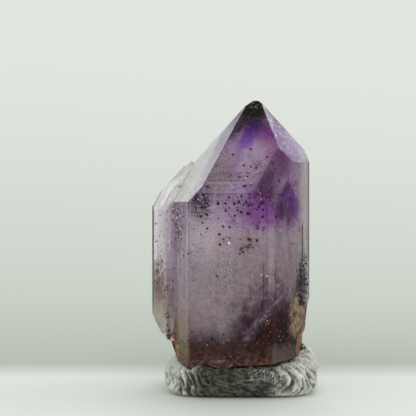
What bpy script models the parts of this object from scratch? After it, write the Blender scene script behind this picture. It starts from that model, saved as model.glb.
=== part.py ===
"""A skeletal phantom amethyst point, held upright in a pad of grey putty.

The point is one quartz crystal: a six-sided prism under a six-sided pyramid, with a thin
plate grown parallel to it on its left, a blunt tip, hopper windows in its back faces and
a broken foot. Each crystal face is a plane, so the solid is cut out of a block by them.

Metres, +Z up. The origin is the centre of the pad's flat underside and the front is -Y.
"""

import math
from collections import namedtuple

import bmesh
import bpy
from mathutils import Vector, noise

MM = 0.001

# How the point stands: its long axis leans back, and the point is turned a little to its left
LEAN_BACK = math.radians(8)
TURN = -6
FOOT_ABOVE_FLOOR = 2.5

# Angles between quartz faces: a pyramid face rises from its prism face at a fixed slope
PYRAMID_SLOPE = 38.2

# The six sides of the point, from the front one round to its left, in millimetres:
# how far each prism face lies from the long axis, and how high its pyramid face begins
POINT_REACH = (8.82, 9.52, 10.15, 9.69, 9.44, 11.26)
POINT_SHOULDER = (30.83, 34.98, 37.06, 36.22, 33.02, 28.34)

# The small face on the corner between the first two sides: azimuth, slope and reach
CORNER_FACE = (26.4, 22.1, 20.32)

# The plate that grew beside it; its second and third sides are buried in the point
PLATE_REACH = (3.86, -5.0, -6.3, 6.6, 13.9, 12.28)
PLATE_SHOULDER = {0: 28.4, 4: 29.9, 5: 27.6}

# The broken foot seen from the front, from left to right: across, and up the long axis
BREAK_LINE = (
    (-16.0, 12.0),
    (-14.2, 8.2),
    (-12.9, 6.0),
    (-11.5, 5.1),
    (-10.8, 2.6),
    (-10.3, 1.4),
    (-8.5, 0.5),
    (-6.6, 1.8),
    (-5.0, 1.5),
    (-3.2, 0.4),
    (-1.7, 1.4),
    (2.5, 1.6),
    (7.4, 2.1),
    (13.0, 2.3),
)

# Behind its front edge the foot rises over this depth, by this much, in lumps of this size.
# Left of the point it hardly rises, so the plate keeps its thin lower end.
BREAK_RISE = 1.5
BREAK_RISE_DEPTH = 6.0
BREAK_RISE_LEFT = -11.5
BREAK_ROUGHNESS = 0.7
BREAK_LUMP = 4.5

# The rough cuts are grids: range across, range in depth or height, and steps in each
FOOT_GRID = ((-17, 14), (-13, 13), (40, 28))
RIGHT_EDGE_GRID = ((-3, 19), (-9, 9), (26, 18))
TIP_STEPS = (20, 20)

# How far the blocks behind those grids reach, well clear of the crystal
BLOCK_BELOW = -9
BLOCK_RIGHT = 20
BLOCK_ABOVE = 52
SOCKET_ABOVE = 30

# The lower right edge is broken away: up the long axis, and how far across is left
RIGHT_EDGE_LINE = (
    (-3.0, 9.4),
    (4.5, 9.7),
    (6.6, 10.0),
    (7.4, 10.5),
    (11.0, 11.0),
    (14.5, 11.9),
    (20.0, 14.0),
)
RIGHT_EDGE_SLANT = 0.16
RIGHT_EDGE_ROUGHNESS = 0.35
RIGHT_EDGE_LUMP = 2.5

# The worn tip: where it is, how fast it falls away, and how far the wear reaches
TIP_ACROSS = 2.4
TIP_DEPTH = 1.6
TIP_HEIGHT = 45.9
TIP_FALL = 0.16
TIP_ROUGHNESS = 0.2
TIP_LUMP = 0.8
TIP_REACH = 3.2

# Rough hollows: centre, radii and seed, and how lumpy they are
PIT_LUMPINESS = 0.35
PITS = {
    "right_edge": ((10.7, -2.8, 15.4), (1.2, 1.2, 3.1), 2.0),
    "plate_tip": ((-9.3, 4.6, 35.2), (1.2, 1.6, 0.9), 7.0),
    "foot_corner": ((-10.9, -3.4, 3.6), (1.0, 1.6, 1.9), 4.0),
    "back_corner": ((4.6, 9.6, 12.0), (1.5, 0.8, 1.1), 6.0),
}

# Hopper windows sunk in the back faces, one step inside the other
WALL_WINDOW_STEPS = 3
CAP_WINDOW_STEPS = 2
WINDOW_STEP_DEPTH = 0.3
WINDOW_FRAME = 1.5
WINDOW_STEP_WIDTH = 0.9
WALL_WINDOW_FOOT = 9.0
WALL_WINDOW_RISE = 2.4

# The putty pad
PAD_HALF_WIDTH = 12.4
PAD_HALF_DEPTH = 9.5
PAD_SQUARENESS = 4.0
PAD_FRONT_HEIGHT = 4.9
PAD_BACK_HEIGHT = 4.5
PAD_LUMP_HEIGHT = 2.2
PAD_LUMP_ANGLE = 22
PAD_LUMP_SHARPNESS = 8
PAD_SWELL = 0.035
PAD_DENTS = 0.05
PAD_SPOKES = 84

# The pad's section from its underside to its top: share of its half width, share of its rim
PAD_SECTION = (
    (0.88, 0.0),
    (0.95, 0.09),
    (0.99, 0.25),
    (1.0, 0.45),
    (0.985, 0.66),
    (0.94, 0.84),
    (0.87, 0.96),
    (0.78, 1.0),
    (0.66, 0.97),
    (0.4, 0.95),
)

# The gap between the crystal and the putty around its foot
GAP = 0.35

AMETHYST_COLOUR = (0.42, 0.30, 0.45)
AMETHYST_ROUGHNESS = 0.06
PUTTY_COLOUR = (0.42, 0.44, 0.40)
PUTTY_ROUGHNESS = 0.9

Plane = namedtuple("Plane", "normal reach")


def face_normal(azimuth, slope):
    """The way a face looks: azimuth in degrees from the front towards the right, slope up."""
    around = math.radians(azimuth)
    up = math.radians(slope)
    level = math.cos(up)
    return Vector((level * math.sin(around), -level * math.cos(around), math.sin(up)))


def prism_plane(side, reach):
    return Plane(face_normal(60 * side + TURN, 0), reach)


def pyramid_plane(side, reach, shoulder):
    """The pyramid face that meets its prism face in a level edge at the shoulder height."""
    normal = face_normal(60 * side + TURN, PYRAMID_SLOPE)
    edge = face_normal(60 * side + TURN, 0) * reach + Vector((0, 0, shoulder))
    return Plane(normal, normal.dot(edge))


def moved_out(planes, distance):
    return [Plane(plane.normal, plane.reach + distance) for plane in planes]


def line_at(points, x):
    """The height of a broken line at x."""
    for (x0, y0), (x1, y1) in zip(points, points[1:]):
        if x <= x1:
            return y0 + (y1 - y0) * (max(x, x0) - x0) / (x1 - x0)
    return points[-1][1]


def rough(place, scale, seed):
    """Broken-stone roughness from about -1 to 1 at a place in millimetres."""
    return noise.fractal(place / scale + Vector((seed, 0, 0)), 0.9, 2.1, 4)


def object_from(bm, name, parent=None):
    """A mesh object of what the bmesh holds in millimetres, its faces pointing out."""
    bmesh.ops.recalc_face_normals(bm, faces=bm.faces)
    bmesh.ops.scale(bm, vec=(MM, MM, MM), verts=bm.verts)
    mesh = bpy.data.meshes.new(name)
    bm.to_mesh(mesh)
    bm.free()
    made = bpy.data.objects.new(name, mesh)
    bpy.context.scene.collection.objects.link(made)
    made.parent = parent
    return made


def as_helper(helper):
    helper.hide_render = True
    helper.display_type = "WIRE"
    return helper


def combine(target, other, operation):
    step = target.modifiers.new(other.name, "BOOLEAN")
    step.operation = operation
    step.solver = "EXACT"
    step.object = other


def material(name, colour, roughness, transmission=0.0):
    made = bpy.data.materials.new(name)
    made.use_nodes = True
    shader = made.node_tree.nodes["Principled BSDF"]
    shader.inputs["Base Color"].default_value = (*colour, 1)
    shader.inputs["Roughness"].default_value = roughness
    shader.inputs["Metallic"].default_value = 0
    shader.inputs["Transmission Weight"].default_value = transmission
    made.diffuse_color = (*colour, 1)
    return made


def cut_block(planes, name, parent, low=-6, high=60, side=40):
    """A block from low to high, cut by each plane in turn and closed again."""
    bm = bmesh.new()
    bmesh.ops.create_cube(bm, size=1)
    bmesh.ops.scale(bm, vec=(side, side, high - low), verts=bm.verts)
    bmesh.ops.translate(bm, vec=(0, 0, (high + low) / 2), verts=bm.verts)
    for plane in planes:
        everything = bm.verts[:] + bm.edges[:] + bm.faces[:]
        cut = bmesh.ops.bisect_plane(
            bm,
            geom=everything,
            dist=1e-5,
            plane_co=plane.normal * plane.reach,
            plane_no=plane.normal,
            clear_outer=True,
        )
        edges = [item for item in cut["geom_cut"] if isinstance(item, bmesh.types.BMEdge)]
        if edges:
            bmesh.ops.edgeloop_fill(bm, edges=edges)
    return object_from(bm, name, parent)


def relief_block(name, parent, place, across, along, steps, back):
    """A closed block with one rough side. The rough side is a grid over the two ranges, and
    place(a, b) gives its points; back(a, b) gives the flat side's."""
    bm = bmesh.new()
    columns, rows = steps
    sheets = []
    for side in (place, back):
        sheet = []
        for i in range(columns + 1):
            a = across[0] + (across[1] - across[0]) * i / columns
            row = [along[0] + (along[1] - along[0]) * j / rows for j in range(rows + 1)]
            sheet.append([bm.verts.new(side(a, b)) for b in row])
        sheets.append(sheet)
    top, bottom = sheets
    for sheet in sheets:
        for i in range(columns):
            for j in range(rows):
                corners = (sheet[i][j], sheet[i + 1][j], sheet[i + 1][j + 1], sheet[i][j + 1])
                if sheet is top:
                    bm.faces.new(corners[:3])
                    bm.faces.new((corners[0], corners[2], corners[3]))
                else:
                    bm.faces.new(corners)
    rim = [(i, 0) for i in range(columns)]
    rim += [(columns, j) for j in range(rows)]
    rim += [(i, rows) for i in range(columns, 0, -1)]
    rim += [(0, j) for j in range(rows, 0, -1)]
    for (i, j), (k, m) in zip(rim, rim[1:] + rim[:1]):
        bm.faces.new((top[i][j], top[k][m], bottom[k][m], bottom[i][j]))
    return object_from(bm, name, parent)


def pit(name, parent, centre, radii, seed):
    """A rough hollow: a lumpy ball."""
    bm = bmesh.new()
    bmesh.ops.create_icosphere(bm, subdivisions=3, radius=1)
    for vert in bm.verts:
        lump = 1 + PIT_LUMPINESS * rough(vert.co * 3, 2.0, seed)
        vert.co = Vector([c + r * v * lump for c, r, v in zip(centre, radii, vert.co)])
    return as_helper(object_from(bm, name, parent))


def clamp(value, low, high):
    return min(max(value, low), high)


def foot_height(across, depth):
    """Height of the broken foot. Behind the front edge the break only rises."""
    inward = clamp((depth + POINT_REACH[0]) / BREAK_RISE_DEPTH, 0, 1)
    under_point = clamp((across - BREAK_RISE_LEFT) / 2, 0.15, 1)
    lumps = BREAK_ROUGHNESS * rough(Vector((across, depth, 0)), BREAK_LUMP, 3.0)
    rise = BREAK_RISE * inward * under_point * clamp(0.5 + lumps, 0, 1.2)
    return line_at(BREAK_LINE, across) + rise


def point_planes():
    sides = range(6)
    prism = [prism_plane(side, POINT_REACH[side]) for side in sides]
    caps = [pyramid_plane(side, POINT_REACH[side], POINT_SHOULDER[side]) for side in sides]
    return prism, caps


def corner_plane():
    """The small face that cuts the corner between the first two sides and the pyramid."""
    azimuth, slope, reach = CORNER_FACE
    return Plane(face_normal(azimuth, slope), reach)


def plate_planes():
    planes = [prism_plane(side, PLATE_REACH[side]) for side in range(6)]
    for side, shoulder in PLATE_SHOULDER.items():
        planes.append(pyramid_plane(side, PLATE_REACH[side], shoulder))
    return planes


def point_and_plate(name, axis, grow):
    """The point and the plate beside it as one body, with every face moved out."""
    prism, caps = point_planes()
    point = cut_block(moved_out(prism + caps + [corner_plane()], grow), name, axis)
    plate = cut_block(moved_out(plate_planes(), grow), name + "_plate", axis)
    combine(point, as_helper(plate), "UNION")
    return point


def hopper_windows(axis):
    """Stepped windows in the back faces: each step keeps clear of the faces around it, so
    its walls run parallel to them, as in a crystal whose edges grew faster than its faces."""
    prism, caps = point_planes()
    windows = {
        "back": (prism[3], [prism[2], prism[4], caps[3]]),
        "back_left": (prism[4], [prism[3], prism[5], caps[4]]),
        "back_cap": (caps[3], [caps[2], caps[4]]),
        "left_cap": (caps[4], [caps[3], caps[5]]),
    }
    made = []
    for name, (face, around) in windows.items():
        is_cap = face.normal.z > 0.1
        for step in range(CAP_WINDOW_STEPS if is_cap else WALL_WINDOW_STEPS):
            frame = WINDOW_FRAME + WINDOW_STEP_WIDTH * step
            floor = face.reach - WINDOW_STEP_DEPTH * (step + 1)
            planes = moved_out(around, -frame)
            planes.append(Plane(-face.normal, -floor))
            planes.append(Plane(face.normal, face.reach + 1))
            if is_cap:
                start = POINT_SHOULDER[3 if name == "back_cap" else 4] + frame
            else:
                start = WALL_WINDOW_FOOT + WALL_WINDOW_RISE * step
            planes.append(Plane(Vector((0, 0, -1)), -start))
            cutter = cut_block(planes, f"window_{name}_{step + 1}", axis)
            made.append(as_helper(cutter))
    return made


def right_break(height, depth):
    """The skin of the broken right edge, which slants outwards to the back."""
    kept = line_at(RIGHT_EDGE_LINE, height) + RIGHT_EDGE_SLANT * depth
    lumps = RIGHT_EDGE_ROUGHNESS * rough(Vector((0, depth, height)), RIGHT_EDGE_LUMP, 9.0)
    return Vector((kept + lumps, depth, height))


def worn_tip(across, depth):
    """The skin of the blunt tip, a low dome with a rough top."""
    away = math.hypot(across - TIP_ACROSS, depth - TIP_DEPTH)
    lumps = TIP_ROUGHNESS * rough(Vector((across, depth, 0)), TIP_LUMP, 5.0)
    return Vector((across, depth, TIP_HEIGHT - TIP_FALL * away * away + lumps))


def rough_cutters(axis):
    """The blocks that break away the foot, the lower right edge and the tip."""
    foot = relief_block(
        "broken_foot",
        axis,
        lambda a, b: Vector((a, b, foot_height(a, b))),
        *FOOT_GRID,
        lambda a, b: Vector((a, b, BLOCK_BELOW)),
    )
    right = relief_block(
        "broken_right_edge",
        axis,
        right_break,
        *RIGHT_EDGE_GRID,
        lambda a, b: Vector((BLOCK_RIGHT, b, a)),
    )
    tip = relief_block(
        "worn_tip",
        axis,
        worn_tip,
        (TIP_ACROSS - TIP_REACH, TIP_ACROSS + TIP_REACH),
        (TIP_DEPTH - TIP_REACH, TIP_DEPTH + TIP_REACH),
        TIP_STEPS,
        lambda a, b: Vector((a, b, BLOCK_ABOVE)),
    )
    return [as_helper(block) for block in (foot, right, tip)]


def amethyst_point(axis):
    point = point_and_plate("amethyst_point", axis, 0)
    pits = [pit(f"pit_{name}", axis, *shape) for name, shape in PITS.items()]
    for cutter in rough_cutters(axis) + pits + hopper_windows(axis):
        combine(point, cutter, "DIFFERENCE")
    point.data.materials.append(
        material("amethyst", AMETHYST_COLOUR, AMETHYST_ROUGHNESS, transmission=1.0)
    )
    return point


def pad_point(spoke, share, height):
    """A point of the pad's skin: share of its half width out, at a share of its rim height."""
    angle = 2 * math.pi * spoke / PAD_SPOKES
    right = math.cos(angle)
    back = math.sin(angle)
    squared = (abs(right) ** PAD_SQUARENESS + abs(back) ** PAD_SQUARENESS) ** (-1 / PAD_SQUARENESS)
    rim = PAD_FRONT_HEIGHT + (PAD_BACK_HEIGHT - PAD_FRONT_HEIGHT) * (0.5 + 0.5 * back) ** 1.5
    toward_lump = math.cos(angle - math.radians(PAD_LUMP_ANGLE))
    rim += PAD_LUMP_HEIGHT * max(toward_lump, 0) ** PAD_LUMP_SHARPNESS
    place = Vector((right, back, height)) * 3
    swell = 1 + PAD_SWELL * rough(place, 1.0, 1.0) * min(height * 3, 1)
    dents = 1 + PAD_DENTS * rough(place, 0.7, 6.0)
    x = PAD_HALF_WIDTH * share * squared * swell * right
    y = PAD_HALF_DEPTH * share * squared * swell * back
    return Vector((x, y, rim * height * dents))


def putty_pad(axis):
    """A pressed roll of putty: flat below, bulging round the side, dished for the foot."""
    bm = bmesh.new()
    rings = [
        [bm.verts.new(pad_point(spoke, share, height)) for spoke in range(PAD_SPOKES)]
        for share, height in PAD_SECTION
    ]
    for lower, upper in zip(rings, rings[1:]):
        for i in range(PAD_SPOKES):
            k = (i + 1) % PAD_SPOKES
            bm.faces.new((lower[i], lower[k], upper[k], upper[i]))
    bm.faces.new(rings[0])
    bmesh.ops.triangulate(bm, faces=[bm.faces.new(rings[-1])])
    pad = object_from(bm, "putty_pad")

    socket = relief_block(
        "socket",
        axis,
        lambda a, b: Vector((a, b, foot_height(a, b) - GAP)),
        *FOOT_GRID,
        lambda a, b: Vector((a, b, SOCKET_ABOVE)),
    )
    grown = point_and_plate("socket_sides", axis, GAP)
    combine(as_helper(socket), as_helper(grown), "INTERSECT")
    combine(pad, socket, "DIFFERENCE")
    pad.data.materials.append(material("putty", PUTTY_COLOUR, PUTTY_ROUGHNESS))
    return pad


def main():
    for old in list(bpy.data.objects):
        bpy.data.objects.remove(old)
    axis = bpy.data.objects.new("point_axis", None)
    bpy.context.scene.collection.objects.link(axis)
    axis.rotation_euler = (-LEAN_BACK, 0, 0)
    foot = Vector((0, math.sin(LEAN_BACK), math.cos(LEAN_BACK))) * FOOT_ABOVE_FLOOR
    axis.location = foot * MM
    amethyst_point(axis)
    putty_pad(axis)


main()
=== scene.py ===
# %% [markdown]
# A skeletal phantom amethyst point, stood upright in a pad of grey putty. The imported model
# gives the solids, and this notebook gives them their looks, one piece at a time. The row
# frame is in metres with +Z up, and the front of the point looks along -Y.

# %% Load the frame
import math
import random

import bmesh
import bpy
from mathutils import Matrix, Vector, noise
from mathutils.bvhtree import BVHTree


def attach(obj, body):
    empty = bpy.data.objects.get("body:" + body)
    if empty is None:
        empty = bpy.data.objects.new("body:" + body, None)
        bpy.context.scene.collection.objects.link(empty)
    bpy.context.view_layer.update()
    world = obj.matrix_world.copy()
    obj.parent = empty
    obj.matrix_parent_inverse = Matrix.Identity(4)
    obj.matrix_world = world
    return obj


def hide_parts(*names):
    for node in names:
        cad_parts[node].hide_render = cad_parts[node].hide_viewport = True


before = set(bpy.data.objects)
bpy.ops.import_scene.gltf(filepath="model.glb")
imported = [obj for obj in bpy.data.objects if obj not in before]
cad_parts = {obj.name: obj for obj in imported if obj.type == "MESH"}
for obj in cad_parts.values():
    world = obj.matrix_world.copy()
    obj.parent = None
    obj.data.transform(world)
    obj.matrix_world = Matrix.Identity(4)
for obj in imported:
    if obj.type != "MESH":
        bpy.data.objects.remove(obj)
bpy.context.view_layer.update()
cad_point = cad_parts["amethyst_point"]
cad_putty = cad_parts["putty_pad"]

# %% [markdown]
# A quartz crystal is easiest to think about along its own long axis. The point leans back
# by eight degrees, so this step makes a matrix that turns millimetres measured from its
# foot (right, away from us, up the axis) into metres in the row frame.

# %% The point's own frame
MM = 0.001
LEAN_BACK = math.radians(8)
FOOT_ABOVE_FLOOR = 2.5
LONG_AXIS = Vector((0, math.sin(LEAN_BACK), math.cos(LEAN_BACK)))
FOOT = LONG_AXIS * FOOT_ABOVE_FLOOR * MM
TO_ROW = Matrix.Translation(FOOT) @ Matrix.Rotation(-LEAN_BACK, 4, "X") @ Matrix.Scale(MM, 4)
TO_POINT = TO_ROW.inverted()
print("foot of the long axis:", [round(c, 5) for c in FOOT])

# %% [markdown]
# The camera comes early, because the specks inside the stone are placed where the photo
# shows them. It looks down by eight degrees through a long lens, from less than half a
# metre, as a close-up of a small mineral is taken. One millimetre is six pixels there.

# %% Camera
PHOTO_SIDE = 416
PIXELS_PER_MM = 6.0
ORIGIN_PIXEL = (241.0, 387.0)
CAMERA_DISTANCE = 0.45
SENSOR = 36.0
LOOK = Vector((0, math.cos(LEAN_BACK), -math.sin(LEAN_BACK)))
middle = PHOTO_SIDE / 2
aim = (
    Vector((1, 0, 0)) * (middle - ORIGIN_PIXEL[0]) + LONG_AXIS * (ORIGIN_PIXEL[1] - middle)
) / PIXELS_PER_MM * MM
camera = bpy.data.objects.new("camera", bpy.data.cameras.new("camera"))
bpy.context.scene.collection.objects.link(camera)
bpy.context.scene.camera = camera
camera.location = aim - LOOK * CAMERA_DISTANCE
camera.rotation_euler = (math.pi / 2 - LEAN_BACK, 0, 0)
camera.data.sensor_width = SENSOR
camera.data.lens = SENSOR * CAMERA_DISTANCE / (PHOTO_SIDE / PIXELS_PER_MM * MM)
camera.data.clip_start = 0.01
print("lens:", round(camera.data.lens, 1), "mm")

# %% [markdown]
# Shader maths reads best as plain Python. A Socket wraps one output of a node, so that
# `1 - mask * 0.5` adds the Math nodes by itself. A Shade is one material, and its `node`
# method is the single way any other node is made: its type, its settings, its sockets.

# %% Sockets and shades
class Socket:
    """An output socket that Python's operators add Math nodes to."""

    def __init__(self, shade, socket):
        self.shade = shade
        self.socket = socket

    def math(self, operation, *others):
        values = dict(enumerate((self, *others)))
        return self.shade.node("ShaderNodeMath", {"operation": operation}, values)

    def __add__(self, other):
        return self.math("ADD", other)

    __radd__ = __add__

    def __mul__(self, other):
        return self.math("MULTIPLY", other)

    __rmul__ = __mul__

    def __sub__(self, other):
        return self.math("SUBTRACT", other)

    def __rsub__(self, other):
        return self.math("MULTIPLY_ADD", -1, other)

    def __truediv__(self, other):
        return self.math("DIVIDE", other)

    def within(self, low, high, soft):
        """1 between two limits, falling to 0 over the soft width beyond them."""
        return self.rise(low - soft, low) * (1 - self.rise(high, high + soft))

    def rise(self, start, end):
        """A smooth step from 0 at start to 1 at end."""
        sockets = {"Value": self, "From Min": start, "From Max": end}
        return self.shade.node("ShaderNodeMapRange", {"interpolation_type": "SMOOTHSTEP"}, sockets)


class Shade:
    """One material and its nodes."""

    def __init__(self, name):
        self.material = bpy.data.materials.new(name)
        self.material.use_nodes = True
        self.tree = self.material.node_tree
        self.tree.nodes.clear()
        self.output = self.tree.nodes.new("ShaderNodeOutputMaterial")

    def node(self, kind, settings=None, sockets=None, out=0):
        made = self.tree.nodes.new(kind)
        for name, value in (settings or {}).items():
            if name == "stops":
                self.fill_ramp(made.color_ramp, value)
            else:
                setattr(made, name, value)
        for name, value in (sockets or {}).items():
            self.feed(made.inputs[name], value)
        return Socket(self, made.outputs[out])

    def feed(self, socket, value):
        if isinstance(value, Socket):
            self.tree.links.new(value.socket, socket)
        elif socket.type == "RGBA":
            socket.default_value = (*value, 1)
        else:
            socket.default_value = value

    def fill_ramp(self, ramp, stops):
        while len(ramp.elements) < len(stops):
            ramp.elements.new(0.5)
        for element, (position, colour) in zip(ramp.elements, stops):
            element.position = position
            element.color = (*colour, 1)

    def place(self):
        """Where a surface point is, in millimetres in the point's own frame."""
        row = self.node("ShaderNodeTexCoord", out="Object")
        sockets = {
            "Vector": row,
            "Location": FOOT,
            "Rotation": (-LEAN_BACK, 0, 0),
            "Scale": (MM, MM, MM),
        }
        return self.node("ShaderNodeMapping", {"vector_type": "TEXTURE"}, sockets)

    def split(self, vector):
        parts = self.node("ShaderNodeSeparateXYZ", sockets={"Vector": vector})
        return [Socket(self, out) for out in parts.socket.node.outputs]

    def noise(self, vector, scale, detail=4.0, roughness=0.55, distortion=0.0):
        sockets = {
            "Vector": vector,
            "Scale": scale,
            "Detail": detail,
            "Roughness": roughness,
            "Distortion": distortion,
        }
        return self.node("ShaderNodeTexNoise", sockets=sockets)

    def stretch(self, vector, scale):
        settings = {"operation": "MULTIPLY"}
        return self.node("ShaderNodeVectorMath", settings, {0: vector, 1: scale})

    def along(self, vector, direction):
        """How far a vector reaches in a direction."""
        settings = {"operation": "DOT_PRODUCT"}
        both = {0: vector, 1: direction}
        return self.node("ShaderNodeVectorMath", settings, both, out="Value")

    def mix(self, share, first, second):
        """A colour between two colours."""
        sockets = {0: share, 6: first, 7: second}
        return self.node("ShaderNodeMix", {"data_type": "RGBA"}, sockets, out=2)

    def bump(self, height, distance, strength=1.0):
        sockets = {"Height": height, "Distance": distance, "Strength": strength}
        return self.node("ShaderNodeBump", sockets=sockets)

    def surface(self, **sockets):
        return self.node("ShaderNodeBsdfPrincipled", sockets={
            name.replace("_", " "): value for name, value in sockets.items()
        })

    def finish(self, surface, volume=None):
        self.feed(self.output.inputs["Surface"], surface)
        if volume:
            self.feed(self.output.inputs["Volume"], volume)
        return self.material


# %% [markdown]
# Every piece is added in the same way: its mesh, its material, the body it rides on and the
# material slot it belongs to. All of this object is one body, named root.

# %% Adding pieces
def add_piece(name, bm, materials):
    """An object of what the bmesh holds in row-frame metres."""
    mesh = bpy.data.meshes.new(name)
    bm.to_mesh(mesh)
    bm.free()
    made = bpy.data.objects.new(name, mesh)
    bpy.context.scene.collection.objects.link(made)
    for material in materials:
        mesh.materials.append(material)
    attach(made, "root")
    print(name, len(mesh.polygons), "faces")
    return made


# %% [markdown]
# Quartz has the same angles in every crystal: six prism faces sixty degrees apart, and
# pyramid faces that rise from them at a fixed slope. The model's own triangles say how far
# out each face lies, so the zones inside the stone can be cut parallel to its real faces.

# %% The faces of the point
TURN = -6
PYRAMID_SLOPE = 38.2


def face_normal(azimuth, slope):
    around = math.radians(azimuth)
    up = math.radians(slope)
    level = math.cos(up)
    return Vector((level * math.sin(around), -level * math.cos(around), math.sin(up)))


def faces_towards(normal):
    """The triangles that look this way, by how far out they lie in millimetres."""
    found = {}
    for face in cad_point.data.polygons:
        if (TO_POINT.to_3x3() @ face.normal).normalized().dot(normal) > 0.9999:
            reach = round((TO_POINT @ face.center).dot(normal), 1)
            found.setdefault(reach, []).append(face)
    return found


def cap_and_wall(side):
    """The pyramid face of a side, and the prism face that meets it at its outermost corner."""
    azimuth = 60 * side + TURN
    cap = face_normal(azimuth, PYRAMID_SLOPE)
    wall = face_normal(azimuth, 0)
    found = faces_towards(cap)
    reach = max(found, key=lambda out: sum(face.area for face in found[out]))
    corners = [TO_POINT @ cad_point.data.vertices[i].co for f in found[reach] for i in f.vertices]
    return (cap, reach), (wall, max(corner.dot(wall) for corner in corners))


PAIRS = [cap_and_wall(side) for side in range(6)]
FACES = [wall for _, wall in PAIRS] + [cap for cap, _ in PAIRS]
WALLS = [wall for wall, _ in FACES[:6]]
CAPS = [cap for cap, _ in FACES[6:]]
print("faces lie out at", [round(reach, 1) for _, reach in FACES])

# %% [markdown]
# The clear stone takes the model's own mesh. Its big flat faces stay perfectly flat, but the
# broken foot, the worn tip and the pits are real fracture surfaces. Each of their edges is
# cut twice, and the new corners get a fine jagged relief. Borders with flat faces stay put.

# %% Clear stone mesh
FLAT_AREA = 0.6 * MM * MM
FRACTURE_RELIEF = 0.09 * MM
CORNER_AZIMUTH, CORNER_SLOPE = 26.4, 22.1
CORNER_NORMAL = face_normal(CORNER_AZIMUTH, CORNER_SLOPE)
EDGE_WEAR = 0.06 * MM
STEEPEST_OVERHANG = -5
SHARP_EDGE = math.radians(12)
LEVEL_SHARE = 0.1


def is_crystal_face(face):
    normal = (TO_POINT.to_3x3() @ face.normal).normalized()
    slope = math.degrees(math.asin(max(-1, min(1, normal.z))))
    return face.calc_area() > FLAT_AREA and slope > STEEPEST_OVERHANG


def is_crystal_edge(edge):
    """A sharp edge between two of the flat faces, clear of any broken stone."""
    if any(face.material_index for vert in edge.verts for face in vert.link_faces):
        return False
    return edge.is_convex and edge.calc_face_angle(0) > SHARP_EDGE


def is_clean_edge(edge):
    """Level edges are still sharp, and so are those of the small corner face."""
    along = TO_POINT.to_3x3() @ (edge.verts[0].co - edge.verts[1].co)
    normals = [(TO_POINT.to_3x3() @ face.normal).normalized() for face in edge.link_faces]
    beside_corner = any(normal.dot(CORNER_NORMAL) > 0.995 for normal in normals)
    return abs(along.z) < LEVEL_SHARE * along.length or beside_corner


def stone_mesh():
    bm = bmesh.new()
    bm.from_mesh(cad_point.data)
    bmesh.ops.remove_doubles(bm, verts=bm.verts, dist=1e-6)
    bmesh.ops.dissolve_limit(
        bm, angle_limit=math.radians(0.4), verts=bm.verts, edges=bm.edges
    )
    broken = [face for face in bm.faces if not is_crystal_face(face)]
    for face in broken:
        face.material_index = 1
    bmesh.ops.triangulate(bm, faces=broken)
    broken = [face for face in bm.faces if face.material_index == 1]
    inner = list({edge for face in broken for edge in face.edges})
    bmesh.ops.subdivide_edges(bm, edges=inner, cuts=2, use_grid_fill=True)
    bm.normal_update()
    for vert in bm.verts:
        if all(face.material_index == 1 for face in vert.link_faces):
            at = vert.co / MM
            jag = noise.fractal(at * 1.7, 0.7, 2.1, 4)
            vert.co += vert.normal * FRACTURE_RELIEF * jag
    sharp = [edge for edge in bm.edges if is_crystal_edge(edge)]
    clean = [edge for edge in sharp if is_clean_edge(edge)]
    worn = [edge for edge in sharp if edge not in clean]
    bmesh.ops.bevel(bm, geom=worn, offset=EDGE_WEAR, segments=2, affect="EDGES", material=2)
    bmesh.ops.triangulate(bm, faces=[face for face in bm.faces if len(face.verts) > 4])
    return bm


# %% [markdown]
# Clear quartz is plain glass with an index of 1.544. Its tint is not painted on: light loses
# a little red and green on its way through the stone, which is what Volume Absorption does.
# Where stain or frost sits on it, a dull crust is mixed in with a Mix Shader.

# %% Clear stone and its crust
QUARTZ_IOR = 1.544
STONE_TINT = (0.7, 0.5, 0.62)
STONE_DENSITY = 33.0
CLEAR = (0.98, 0.97, 0.98)


def glass(shade, colour, roughness, **more):
    look = {"Base_Color": colour, "Roughness": roughness, **more}
    return shade.surface(IOR=QUARTZ_IOR, Transmission_Weight=1.0, **look)


def finish_stone(shade, share, clear, crust):
    """Glass with a crust over this share of it, and the stone's tint inside."""
    both = shade.node("ShaderNodeMixShader", sockets={0: share, 1: clear, 2: crust})
    tint = {"Color": STONE_TINT, "Density": STONE_DENSITY}
    return shade.finish(both, shade.node("ShaderNodeVolumeAbsorption", sockets=tint))


# %% [markdown]
# Where a piece of the stone's skin lies is found from the model: its left and right edges,
# and how far out a face reaches. So stain, frost and the painted shade along the outline
# follow the real shape.

# %% Places on the skin
# Painted shade: the dark colour painted along the stone's outline.
OUTLINE_SHADE = (0.06, 0.065, 0.075)
stone_across = [(TO_POINT @ vert.co).x for vert in cad_point.data.vertices]
LEFT_EDGE = min(stone_across)
RIGHT_EDGE = max(stone_across)
print("stone reaches across from", round(LEFT_EDGE, 2), "to", round(RIGHT_EDGE, 2))


def on_face(shade, place, face):
    """1 on one of the stone's faces, 0 elsewhere."""
    normal, reach = face
    return shade.along(place, normal).rise(reach - 0.06, reach - 0.02)


# The mask along which the dark outline is painted on as shade.
def outline(across, width):
    """1 within this many millimetres of the stone's left and right edges."""
    left = 1 - across.rise(LEFT_EDGE + width * 0.5, LEFT_EDGE + width)
    return left + across.rise(RIGHT_EDGE - width, RIGHT_EDGE - width * 0.5)


# %% [markdown]
# The flat faces carry faint growth lines and etch marks, and frosted patches scatter the
# light. The foot is stained brown. The outline is painted dark, as painted shade for the dark
# border that light bending at the edge gives. The left cap is dusted white, and the white is
# also a painted reflection of the light on it; it fades out towards the tip, as painted shade.

# %% Flat faces
PLATE_TOP_ACROSS, PLATE_TOP_HEIGHT = (-11.5, -7.6), (29.5, 36.5)
FOOT_STAIN = (1, 6)
RIM_WIDTH = 0.34
RIM_FADE_IN, OUTLINE_FADE_IN = (8, 12), (7, 9)
STAIN_DARK, STAIN_BROWN = (0.035, 0.013, 0.01), (0.2, 0.075, 0.045)
LEFT_CAP_SHADE_FADE = (-8, -2)
CAP_DUST_AND_SHEEN = (0.98, 0.98, 0.96)


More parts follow.
